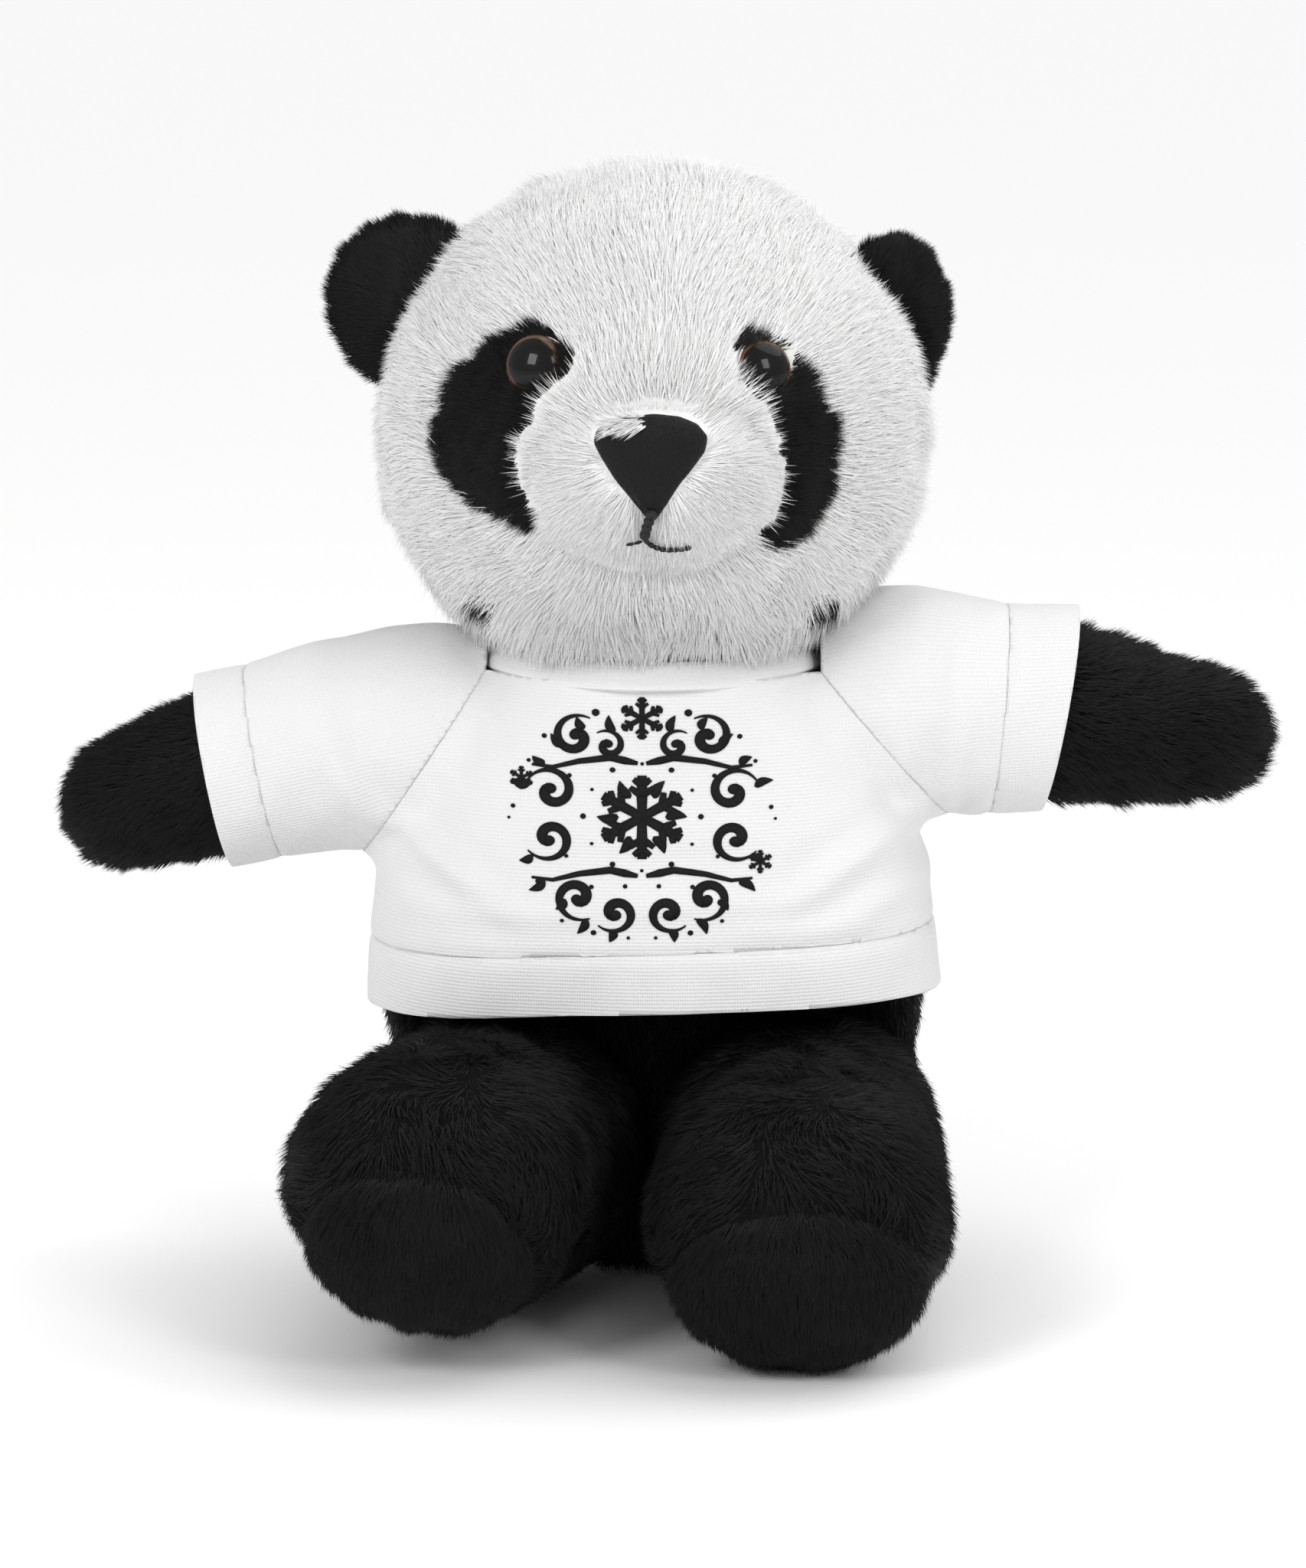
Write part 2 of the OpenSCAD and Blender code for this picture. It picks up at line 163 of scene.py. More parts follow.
def sizes():
    return bpy.context.scene.panda_sizes


def colours():
    return bpy.context.scene.panda_colours


# Materials


class Wire:
    """An output socket, on which Python's operators add Math nodes."""

    def __init__(self, paint, socket):
        self.paint = paint
        self.socket = socket

    def math(self, operation, *values):
        return self.paint.node("ShaderNodeMath", {"operation": operation}, dict(enumerate(values)))

    def __add__(self, other):
        return self.math("ADD", self, other)

    def __radd__(self, other):
        return self.math("ADD", other, self)

    def __sub__(self, other):
        return self.math("SUBTRACT", self, other)

    def __rsub__(self, other):
        return self.math("SUBTRACT", other, self)

    def __mul__(self, other):
        return self.math("MULTIPLY", self, other)

    def __rmul__(self, other):
        return self.math("MULTIPLY", other, self)

    def __pow__(self, other):
        return self.math("POWER", self, other)

    def sine(self):
        return self.math("SINE", self)

    def size(self):
        return self.math("ABSOLUTE", self)

    def clamped(self):
        return self.paint.node("ShaderNodeClamp", inputs={"Value": self})


class Paint:
    """A material that is built one node at a time."""

    def __init__(self, name, **constants):
        self.material = bpy.data.materials.new(name)
        self.material.use_nodes = True
        self.tree = self.material.node_tree
        self.shader = self.tree.nodes["Principled BSDF"]
        for key, value in constants.items():
            self.shader.inputs[key.replace("_", " ")].default_value = value

    def node(self, kind, settings=None, inputs=None, out=0):
        """Adds a node, its settings before its inputs, and gives one of its outputs."""
        made = self.tree.nodes.new(kind)
        for key, value in (settings or {}).items():
            setattr(made, key, value)
        for key, value in (inputs or {}).items():
            if isinstance(value, Wire):
                self.tree.links.new(value.socket, made.inputs[key])
            else:
                made.inputs[key].default_value = value
        return Wire(self, made.outputs[out])

    def blend(self, factor, first, second):
        """A colour between two others."""
        return self.node("ShaderNodeMix", {"data_type": "RGBA"}, {0: factor, 6: first, 7: second}, out=2)

    def place(self):
        """Object coordinates, in millimetres."""
        spot = self.node("ShaderNodeTexCoord", out="Object")
        return self.node("ShaderNodeVectorMath", {"operation": "SCALE"}, {0: spot, 3: 1 / MM})

    def parts(self, vector):
        """The three parts of a vector."""
        split = self.tree.nodes.new("ShaderNodeSeparateXYZ")
        self.tree.links.new(vector.socket, split.inputs[0])
        return [Wire(self, socket) for socket in split.outputs]

    def map(self, name):
        """The two parts of a piece's own map."""
        return self.parts(self.node("ShaderNodeUVMap", {"uv_map": name}))[:2]

    def noise(self, vector, scale, detail=2.0):
        return self.node("ShaderNodeTexNoise", inputs={"Vector": vector, "Scale": scale, "Detail": detail})

    def feed(self, **sockets):
        for key, wire in sockets.items():
            self.tree.links.new(wire.socket, self.shader.inputs[key.replace("_", " ")])
        return self

    def bump(self, height, distance, strength=1.0):
        inputs = {"Height": height, "Distance": distance * MM, "Strength": strength}
        return self.feed(Normal=self.node("ShaderNodeBump", inputs=inputs))


def shade(colour, factor=1.0):
    return (*[min(1.0, channel * factor) for channel in colour], 1.0)


def kept(name, make):
    """A material that is made once and then found again."""
    return bpy.data.materials.get(name) or make(name)


def fibres(name, colour, root, tip, spread, **constants):
    """Fur: darker at the root, a painted shade, and at the tip a painted highlight wherever the tip's colour is
    above one; each tuft with a tint of its own, from the map that every tuft has.
    """
    def make(called):
        paint = Paint(called, **constants)
        tint, along = paint.map("OFBake")
        tone = paint.blend(tint, shade(colour, 1 - spread), shade(colour, 1 + spread))
        # Root to tip along each tuft: painted shade at the root, painted highlight at the tip where its colour
        # is above one.
        deep = paint.blend(along.clamped(), shade(root), shade(tip))
        both = {"data_type": "RGBA", "blend_type": "MULTIPLY"}
        shown = paint.node("ShaderNodeMix", both, {0: 1.0, 6: tone, 7: deep}, out=2)
        return paint.feed(Base_Color=shown).material
    return kept(name, make)


def white_fur():
    # The roots are painted 5% darker than the tips: painted shade deep in the pile.
    return fibres("white plush fibres", colours().white, (0.95, 0.95, 0.95), (1, 1, 1), 0.02,
                  Roughness=0.75, Specular_IOR_Level=0.25, Sheen_Weight=0.1)


def black_fur(name="black plush fibres", lift=1.0):
    # Painted shade at the root, at three tenths of the colour, and a painted highlight at the tip, at 2.4 times
    # the colour and raised further by lift.
    return fibres(name, colours().black, (0.3, 0.3, 0.3), (2.4 * lift, 2.4 * lift, 2.45 * lift), 0.6,
                  Roughness=0.55, Specular_IOR_Level=0.22)


def backing(name, colour, spots=()):
    """The knitted ground that the pile grows from. A spot is a dark place: its middle and its reach."""
    def make(called):
        paint = Paint(called, Roughness=0.9, Specular_IOR_Level=0.1)
        place = paint.place()
        patchy = paint.noise(place, 0.25)
        tone = paint.blend(patchy, shade(colour, 0.8), shade(colour))
        for middle, reach in spots:
            ends = {0: place, 1: tuple(middle)}
            away = paint.node("ShaderNodeVectorMath", {"operation": "DISTANCE"}, ends, out=1)
            tone = paint.blend(((reach - away) * 1.5).clamped(), tone, shade(colours().black))
        paint.feed(Base_Color=tone)
        return paint.bump(paint.noise(place, 2.2, 3.0), 0.3).material
    return kept(name, make)


def white_ground():
    return backing("white plush ground", colours().white)


def black_ground():
    return backing("black plush ground", shade(colours().black, 0.7)[:3])


def jersey(name, pitch):
    """Fine knit: columns of small loops, a little uneven."""
    def make(called):
        paint = Paint(called, Roughness=0.85, Specular_IOR_Level=0.15, Sheen_Weight=0.15, Sheen_Roughness=0.4)
        place = paint.place()
        across, up = paint.map("knit")
        uneven = paint.noise(place, 0.9) * 0.8
        column = (across * (2 * math.pi / pitch) + uneven).sine()
        loop = (up * (2 * math.pi / (0.8 * pitch)) + column.size() * 1.6 + uneven).sine()
        height = column.size() * 0.5 + loop * 0.35 + paint.noise(place, 1.6, 4.0) * 0.8
        cloudy = paint.noise(place, 0.12, 3.0)
        colour = colours().shirt
        # The colour darkens in the dips between the knit's columns and loops, where the bump is low: painted
        # shade in the hollows, with random cloudiness over it.
        thread = (column.size() * 0.5 + loop * 0.25 + cloudy * 0.5).clamped()
        paint.feed(Base_Color=paint.blend(thread, shade(colour, 0.93), shade(colour)))
        return paint.bump(height, 0.12, 0.7).material
    return kept(name, make)


def ink():
    def make(called):
        paint = Paint(called, Roughness=0.7, Specular_IOR_Level=0.1)
        place = paint.place()
        colour = colours().ink
        speckled = paint.noise(place, 2.5, 4.0)
        paint.feed(Base_Color=paint.blend(speckled, shade(colour), shade(colour, 2.2)))
        return paint.bump(speckled, 0.05).material
    return kept("printed ink", make)


def eye_glass():
    """A black pupil in a brown ring, under a clear gloss."""
    def make(called):
        paint = Paint(called, Roughness=0.3, Coat_Weight=0.4, Coat_Roughness=0.02, Coat_IOR=1.5,
                      Specular_IOR_Level=0.05)
        across, up = paint.map("OFBake")
        away = ((across - 0.5) ** 2.0 + (up - 0.5) ** 2.0) ** 0.5 * 2.0
        in_ring = ((away - 0.8) * 28.0).clamped()
        rim = ((away - 0.93) * 14.0).clamped()
        iris = colours().iris
        brown = paint.blend(rim, shade(iris), shade(iris, 0.4))
        paint.feed(Base_Color=paint.blend(in_ring, (0.003, 0.003, 0.003, 1), brown))
        return paint.material
    return kept("glossy safety eye", make)


def nose_cloth():
    def make(called):
        paint = Paint(called, Roughness=0.5, Specular_IOR_Level=0.12)
        place = paint.place()
        x, _, z = paint.parts(place)
        threads = ((x * 0.9 + z * 0.25 + paint.noise(place, 0.35) * 2.0) * 16.0).sine()
        fine = paint.noise(place, 1.8, 4.0)
        # The colour is lighter on the raised threads and darker in the grooves between them, as the bump is:
        # painted shade in the grooves, with random speckle over it.
        tone = (threads * 0.25 + fine).clamped()
        paint.feed(Base_Color=paint.blend(tone, (0.004, 0.004, 0.0043, 1), (0.012, 0.012, 0.0126, 1)))
        return paint.bump(threads * 0.5 + fine, 0.1, 0.6).material
    return kept("nose cloth", make)


def thread():
    def make(called):
        paint = Paint(called, Roughness=0.6, Specular_IOR_Level=0.35)
        place = paint.place()
        twist = paint.noise(place, 3.0, 3.0)
        paint.feed(Base_Color=paint.blend(twist, (0.004, 0.004, 0.004, 1), (0.014, 0.014, 0.015, 1)))
        return paint.bump(twist, 0.15).material
    return kept("mouth thread", make)


def washer_plastic():
    def make(called):
        paint = Paint(called, Roughness=0.45)
        place = paint.place()
        worn = paint.noise(place, 0.8, 3.0)
        paint.feed(Base_Color=paint.blend(worn, (0.7, 0.7, 0.66, 1), (0.8, 0.8, 0.76, 1)))
        return paint.bump(worn, 0.1).material
    return kept("washer plastic", make)


# Mesh tools


def pick(piece):
    """Selects one piece only and makes it active."""
    bpy.ops.object.select_all(action="DESELECT")
    piece.select_set(True)
    bpy.context.view_layer.objects.active = piece
    return piece


def modify(piece, kind, **settings):
    """Adds a modifier, sets it and applies it."""
    pick(piece)
    modifier = piece.modifiers.new(kind.title(), kind)
    for key, value in settings.items():
        setattr(modifier, key, value)
    bpy.ops.object.modifier_apply(modifier=modifier.name)
    return piece


def shape_of(piece):
    """A piece's points, normals and triangles, in millimetres."""
    mesh = piece.data
    mesh.calc_loop_triangles()
    points = np.empty(len(mesh.vertices) * 3)
    mesh.vertices.foreach_get("co", points)
    normals = np.empty(len(mesh.vertices) * 3)
    mesh.vertices.foreach_get("normal", normals)
    triangles = np.empty(len(mesh.loop_triangles) * 3, dtype=np.int32)
    mesh.loop_triangles.foreach_get("vertices", triangles)
    return points.reshape(-1, 3) / MM, normals.reshape(-1, 3), triangles.reshape(-1, 3)


def set_points(piece, points):
    piece.data.vertices.foreach_set("co", (np.asarray(points) * MM).ravel())
    piece.data.update()
    return piece


def new_piece(name, points, faces):
    mesh = bpy.data.meshes.new(name)
    mesh.from_pydata([tuple(p) for p in np.asarray(points) * MM], [], faces)
    mesh.update()
    piece = bpy.data.objects.new(name, mesh)
    bpy.context.scene.collection.objects.link(piece)
    return piece


def smooth_all(piece):
    piece.data.polygons.foreach_set("use_smooth", np.ones(len(piece.data.polygons), bool))


def coat(piece, paint):
    """Gives a piece one material in place of any others."""
    piece.data.materials.clear()
    piece.data.materials.append(paint)


def own_map(piece, name):
    """A new map, the piece's only one."""
    layers = piece.data.uv_layers
    for old in list(layers):
        layers.remove(old)
    return layers.new(name=name)


def ball(name, middle, radii, turn=None):
    """A round cage: a sphere primitive, stretched, turned and put in its place."""
    bpy.ops.object.select_all(action="DESELECT")
    bpy.ops.mesh.primitive_uv_sphere_add(segments=40, ring_count=24, radius=1)
    piece = bpy.context.active_object
    piece.name = name
    place = Matrix.Translation(Vector(middle) * MM) @ (turn or Matrix()).to_4x4()
    piece.data.transform(place @ Matrix.Diagonal((*[r * MM for r in radii], 1)))
    return piece


def bands(rows, count):
    """The quads between closed rows of points."""
    quads = []
    for low in range(0, (rows - 1) * count, count):
        for j in range(count):
            k = (j + 1) % count
            quads.append((low + j, low + k, low + count + k, low + count + j))
    return quads


def outwards(piece):
    """Turns a piece's faces to point out of it."""
    bm = bmesh.new()
    bm.from_mesh(piece.data)
    bmesh.ops.recalc_face_normals(bm, faces=bm.faces)
    bm.to_mesh(piece.data)
    bm.free()
    return piece


def tube(name, rings):
    """A closed skin over rings of points."""
    count = len(rings[0])
    points = np.concatenate([*rings, [rings[0].mean(0)], [rings[-1].mean(0)]])
    faces = bands(len(rings), count)
    first, last = len(rings) * count, len(rings) * count + 1
    top = (len(rings) - 1) * count
    for j in range(count):
        k = (j + 1) % count
        faces += [(k, j, first), (top + j, top + k, last)]
    return outwards(new_piece(name, points, faces))


def join(name, *pieces):
    pick(pieces[0])
    for piece in pieces:
        piece.select_set(True)
    bpy.ops.object.join()
    pieces[0].name = name
    pieces[0].data.name = name
    return pieces[0]


def even(piece, pitch, smoothing):
    """Covers a piece with even quads and softens its creases."""
    modify(piece, "REMESH", mode="VOXEL", voxel_size=pitch * MM, use_smooth_shade=True)
    modify(piece, "SMOOTH", factor=0.5, iterations=smoothing)


# How the stuffing presses: its force, the fabric's stiffness and weight, and how many frames it takes
PUFF_FORCE = 150
FABRIC_STIFFNESS = 2
FABRIC_MASS = 0.0006
PUFF_FRAMES = 20


def puff(piece, held, most):
    """Lets the stuffing press a shape's fabric outwards, while its seams are held."""
    points = shape_of(piece)[0]
    group = piece.vertex_groups.new(name="held")
    group.add([int(i) for i in np.flatnonzero(held(points))], 1.0, "REPLACE")
    pick(piece)
    fabric = piece.modifiers.new("Cloth", "CLOTH")
    settings = fabric.settings
    settings.quality = 4
    settings.mass = FABRIC_MASS
    for kind in ("tension", "compression", "shear"):
        setattr(settings, kind + "_stiffness", FABRIC_STIFFNESS)
    settings.use_pressure = True
    settings.uniform_pressure_force = PUFF_FORCE
    settings.effector_weights.gravity = 0
    settings.vertex_group_mass = "held"
    fabric.collision_settings.use_collision = False
    fabric.point_cache.frame_end = PUFF_FRAMES
    for step in range(1, PUFF_FRAMES + 1):
        bpy.context.scene.frame_set(step)
    swollen = piece.evaluated_get(bpy.context.evaluated_depsgraph_get())
    moved = np.empty(len(points) * 3)
    swollen.data.vertices.foreach_get("co", moved)
    piece.modifiers.remove(fabric)
    bpy.context.scene.frame_set(1)
    shift = moved.reshape(-1, 3) / MM - points
    far = np.linalg.norm(shift, axis=1)[:, None]
    shift *= most / np.maximum(far, most)
    piece.vertex_groups.clear()
    set_points(piece, points + shift)


def wave(points, pitch, seed):
    """Smooth unevenness between -1 and 1, the same on every run."""
    rng = np.random.default_rng(seed)
    total = np.zeros(len(points))
    for _ in range(5):
        direction = rng.normal(size=3)
        direction *= rng.uniform(0.7, 1.4) * 2 * math.pi / pitch / np.linalg.norm(direction)
        total += np.sin(points @ direction + rng.uniform(0, 2 * math.pi))
    return total / 3


def drift(points, pitch, seed):
    """A direction that wanders smoothly from place to place."""
    return np.stack([wave(points, pitch, seed + k) for k in range(3)], 1)


def unit(vectors):
    return vectors / np.maximum(np.linalg.norm(vectors, axis=-1, keepdims=True), 1e-9)


def distance(points, middle):
    return np.linalg.norm(points - middle, axis=1)


def on_face(points):
    """Places across and up on the face's plane, about the middle of the head."""
    away = points - FACE_MIDDLE
    return away[:, 0], away[:, 2] * math.cos(FACE_LEAN) + away[:, 1] * math.sin(FACE_LEAN)


def within(points, outline):
    """Which places on the face lie in an outline."""
    x, y = on_face(points)
    inside = np.zeros(len(points), bool)
    for (x0, y0), (x1, y1) in zip(outline, outline[1:] + outline[:1]):
        crosses = (y0 > y) != (y1 > y)
        inside ^= crosses & (x < (x1 - x0) * (y - y0) / ((y1 - y0) or 1e-9) + x0)
    return inside & (points[:, 1] < -8)


# Fur

# A tuft is a three-sided spike. A piece of fur holds this many at most.
MOST_TUFTS = 48000
RING = np.arange(3) * 2 * math.pi / 3
SPIKE = np.array([[3, 1, 0], [3, 2, 1], [3, 0, 2], [0, 1, 2]])
SPIKE_MAP = np.array([0, 0.01, 0.02, 0.01])

# How far a root is sunk into its skin, the lowest place of a tip, and how far tufts stray from their comb
ROOT_DEPTH = 0.5
LOWEST_TIP = 0.3
STRAY = 0.22
LEAN_SPREAD = 0.07


def grow(name, body, skin, count, comb, where, fur, length, width, seed,
         clump=2.2, pull=0.35, soft=0.55):
    """Plants tufts on a skin. comb gives each tuft's direction, its lean and its share of the length."""
    rng = np.random.default_rng(seed)
    points, normals, triangles = skin
    corners = points[triangles]
    area = np.linalg.norm(np.cross(corners[:, 1] - corners[:, 0], corners[:, 2] - corners[:, 0]), axis=1)
    chance = area * (where(corners.mean(1)) > 0)
    tries = int(count * sizes().density)
    index = rng.choice(len(triangles), tries, p=chance / chance.sum())
    share = rng.dirichlet((1, 1, 1), tries)[:, :, None]
    root = (corners[index] * share).sum(1)
    normal = unit((normals[triangles[index]] * share).sum(1))
    keep = where(root) > rng.random(tries)
    root, normal = root[keep], normal[keep]
    order = np.argsort(root @ np.array([0.3, 1.0, 0.2]))
    root, normal = root[order], normal[order]
    count = len(root)

    direction, lean, part = comb(root, normal)
    stray = rng.normal(size=(count, 3)) * STRAY
    tangent = unit(direction - (direction * normal).sum(1, keepdims=True) * normal) + stray
    tangent = unit(tangent - (tangent * normal).sum(1, keepdims=True) * normal)
    lean = np.clip(lean + rng.normal(size=count) * LEAN_SPREAD, 0, 1)[:, None]
    reach = (length * part * rng.uniform(0.75, 1.15, count))[:, None]
    first, second = lean * 1.3, np.minimum(lean * 1.3 + 0.42, 1.75)
    root = root - normal * ROOT_DEPTH
    middle = root + (normal * np.cos(first) + tangent * np.sin(first)) * reach * 0.5
    tip = middle + (normal * np.cos(second) + tangent * np.sin(second)) * reach * 0.5

    # Tufts lean together in small locks.
    cell = np.floor(root / clump + drift(root, 7, seed) * 0.5).astype(np.int64)
    lock = np.unique(cell @ np.array([1, 4096, 4096 ** 2]), return_inverse=True)[1].ravel()
    total = np.bincount(lock)
    centre = np.stack([np.bincount(lock, tip[:, k]) / total for k in range(3)], 1)[lock]
    tip = tip + (centre - tip) * (pull * rng.uniform(0.4, 1.3, count))[:, None]

    thick = (width * sizes().fibre / MM / 2 * rng.uniform(0.7, 1.3, count))[:, None, None]
    tip[:, 2] = np.maximum(tip[:, 2], LOWEST_TIP)
    along = unit(tip - root)
    side = unit(np.cross(along, normal))
    up = np.cross(side, along)
    angle = RING[None, :] + rng.uniform(0, 2, count)[:, None]
    spoke = side[:, None] * np.cos(angle)[..., None] + up[:, None] * np.sin(angle)[..., None]
    co = np.concatenate([root[:, None] + spoke * thick, tip[:, None]], 1)
    around = np.concatenate([spoke, along[:, None]], 1)
    facing = unit(normal[:, None] * soft + around * (1 - soft))
    tint = rng.random(count)[:, None] * 0.9 + 0.04
    uv = np.stack([tint + SPIKE_MAP, np.broadcast_to([0, 0.02, 0, 1], (count, 4))], -1)
    made = []
    parts = math.ceil(count / MOST_TUFTS)
    for number, chosen in enumerate(np.array_split(np.arange(count), parts)):
        faces = (SPIKE[None] + 4 * np.arange(len(chosen))[:, None, None]).reshape(-1, 3)
        piece = lay(name if parts == 1 else f"{name}_{number + 1}", co[chosen].reshape(-1, 3), faces,
                    uv[chosen].reshape(-1, 2), facing[chosen].reshape(-1, 3))
        piece.data.materials.append(fur)
        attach(piece, body)
        made.append(piece)
    return made


def lay(name, points, triangles, uv, facing):
    """A mesh of triangles with its map and its shading normals."""
    mesh = bpy.data.meshes.new(name)
    mesh.vertices.add(len(points))
    mesh.vertices.foreach_set("co", (points * MM).astype(np.float32).ravel())
    mesh.loops.add(len(triangles) * 3)
    mesh.loops.foreach_set("vertex_index", triangles.astype(np.int32).ravel())
    mesh.polygons.add(len(triangles))
    mesh.polygons.foreach_set("loop_start", np.arange(0, len(triangles) * 3, 3, dtype=np.int32))
    mesh.update(calc_edges=True)
    mesh.polygons.foreach_set("use_smooth", np.ones(len(triangles), bool))
    layer = mesh.uv_layers.new(name="OFBake")
    layer.data.foreach_set("uv", uv[triangles.ravel()].astype(np.float32).ravel())
    mesh.normals_split_custom_set_from_vertices(facing)
    piece = bpy.data.objects.new(name, mesh)
    bpy.context.scene.collection.objects.link(piece)
    return piece


def stuffed(piece, body, paint, slot, fill, *nodes):
    """Smooths a finished piece, gives it its material, hangs it on the body that it rides on, and hides the
    frame's parts that it stands for.
    """
    smooth_all(piece)
    coat(piece, paint)
    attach(piece, body)
    if nodes:
        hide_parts(*nodes)
    return piece


# Head


def head_comb(points, normals):
    """Away from the nose in front, down at the back, and straight down under the chin."""
    front = np.clip(0.5 - (points[:, 1] - HEAD[1]) / 60, 0, 1)[:, None]
    chin = np.clip((HEAD[2] - 24 - points[:, 2]) / 14, 0, 1)[:, None] * front
    out = unit(points - NOSE_TIP)
    direction = out * front + np.array([0, 0.5, -1.0]) * (1 - front)
    direction = direction * (1 - chin) + np.array([0, -0.25, -1.0]) * chin
    direction = direction + 0.3 * drift(points, 22, 40)
    lean = 0.74 + 0.08 * wave(points, 15, 50) - 0.12 * chin[:, 0]
    part = 0.9 + 0.1 * wave(points, 9, 51) + 0.45 * chin[:, 0]
    return direction, lean, part


def muzzle_comb(points, normals):
    """Out from the middle of the nose over the muzzle."""
    direction = unit(points - NOSE_TIP + [0, 2, -4]) + 0.25 * drift(points, 14, 60)
    return direction, 0.66 + 0.08 * wave(points, 10, 63), 0.85 + 0.1 * wave(points, 8, 64)


def eye_place(side):
    """Where an eye sits on the head, and which way it looks."""
    across, up = EYES[side]
    place = face_point(across, up, -44.0)
    return place, unit(place - HEAD + [0, -14.0, 0])


def bare_face(points):
    """Bare where the nose, the eyes and the mouth are."""
    x, y = on_face(points)
    front = points[:, 1] < HEAD[1] - 30
    clear = np.ones(len(points))
    for side in SIDE_NAMES:
        across, up = EYES[side]
        out, radius = EYE_SHOWS[side]
        clear[front & ((x - across - side * out) ** 2 + (y - up) ** 2 < radius ** 2)] = 0
    return clear


def fanned(points, reach):
    """Where a tuft that roots at a place shows: further from the nose, the way that the fur is combed."""
    return points + reach * unit(points - NOSE_TIP)


def on_white(points):
    dark = np.zeros(len(points), bool)
    for outline in (PATCH_LEFT, PATCH_RIGHT):
        dark |= within(fanned(points, 2.9), outline) | within(fanned(points, 6.4), outline)
    return bare_face(points) * ~dark


def behind_nose(points):
    """Which places lie behind the nose, up to just short of its edge."""
    share, middle = 0.98, -6
    return within(points, [(x * share, (y - middle) * share + middle) for x, y in NOSE_OUTLINE])


# Two small places low on the cheeks, where black fur of the neck shows: across, and below the head's middle
WISPS = ((-33.5, 32.5), (35, 32))


def wisps(points):
    """Which places lie in the wisps of black fur."""
    left, right = [((points[:, 0] - x) / 4) ** 2 + ((points[:, 2] - HEAD[2] + down) / 2.6) ** 2 < 1
                   for x, down in WISPS]
    return (left | right) * (points[:, 1] < -5) * 1.0


class PANDA_OT_head(bpy.types.Operator):
    """Builds the head's stuffed ball, its muzzle and its white fur"""

    bl_idname = "panda.head"
    bl_label = "Head"

    def execute(self, context):
        head = ball("head_plush", HEAD + [0, 1, 0], (HEAD_R - 2.2, HEAD_R - 3.5, HEAD_R - 3.5))
        even(head, 3.2, 2)
        points, normals, _ = shape_of(head)
        away = points - HEAD
        cheek = np.exp(-((away[:, 2] + 14) / 24) ** 2) * np.abs(away[:, 0]) / HEAD_R
        sunk = np.exp(-(away[:, 0] / 1.6) ** 2) * (away[:, 1] > 0)
        rim = np.exp(-((away[:, 1] - 8) / 1.6) ** 2)
        ramp = np.exp(-((np.linalg.norm((points - MUZZLE) / [1.08, 1, 0.9], axis=1) - MUZZLE_R) / 6) ** 2)
        rise = 1.6 * cheek - 0.9 * sunk - 0.7 * rim + 2.6 * ramp + 0.5 * wave(points, 34, 3)
        set_points(head, points + normals * rise[:, None])
        puff(head, lambda p: (np.abs(p[:, 1] - HEAD[1] - 8) < 2) | (p[:, 2] < NECK[2] + 26), 1.2)
        spots = [(eye_place(side)[0] + [side * 2.0, 0, 0], 8.0) for side in SIDE_NAMES]
        ground = backing("white plush ground with dark spots", colours().white, spots)
        stuffed(head, "head", ground, "white_plush", 0.9, "face_panel", "head_back", "head_fill")

        muzzle = ball("muzzle_plush", MUZZLE, (MUZZLE_R + 1, MUZZLE_R - 2.5, MUZZLE_R - 6))
        even(muzzle, 2.4, 3)
        points = shape_of(muzzle)[0]
        below = (points[:, 2] < MUZZLE[2] - 3) * (points[:, 1] < MUZZLE[1])
        points[:, 1] += 1.6 * np.exp(-((points[:, 0] + 1) / 2.2) ** 2) * below
        set_points(muzzle, points)
        puff(muzzle, lambda p: distance(p, HEAD) < HEAD_R - 2, 0.8)
        stuffed(muzzle, "head", white_ground(), "white_plush", 0.8, "muzzle", "muzzle_fill")

        pile = sizes().white_pile / MM
        fur = white_fur()
        skin = shape_of(head)
        out_of_muzzle = lambda p: np.linalg.norm((p - MUZZLE) / [1.06, 1, 0.8], axis=1) > MUZZLE_R - 2.5
        out_of_neck = lambda p: distance(p, NECK) > 35
        front = lambda p: on_white(p) * out_of_muzzle(p) * out_of_neck(p) * (p[:, 1] < 6) * (1 - wisps(p))
        back = lambda p: out_of_neck(p) * (p[:, 1] >= 6) * 1.0
        grow("face_fur", "head", skin, 62000, head_comb, front, fur, pile, 1.0,
             seed=11, pull=0.2, soft=0.85)
        grow("back_fur", "head", skin, 50000, head_comb, back, fur, pile, 1.25,
             seed=12, pull=0.25, soft=0.85)
        grow("neck_wisps", "head", skin, 420, head_comb, wisps, black_fur(),
             1.1 * sizes().black_pile / MM, 0.9, seed=72)
        skin = shape_of(muzzle)
        out_of_head = lambda p: (distance(p, HEAD) > HEAD_R - 4) * on_white(p) * (1.0 - behind_nose(p))
        grow("muzzle_fur", "head", skin, 30000, muzzle_comb, out_of_head, fur,
             0.95 * pile, 0.95, seed=13, pull=0.2, soft=0.85)
        return {"FINISHED"}


def patch_comb(points, normals):
    direction = unit(points - NOSE_TIP) + [0, 0, -0.25]
    direction = direction + 0.3 * drift(points, 9, 70)
    return direction, 0.66 + 0.1 * wave(points, 7, 73), 0.9 + 0.1 * wave(points, 6, 74)


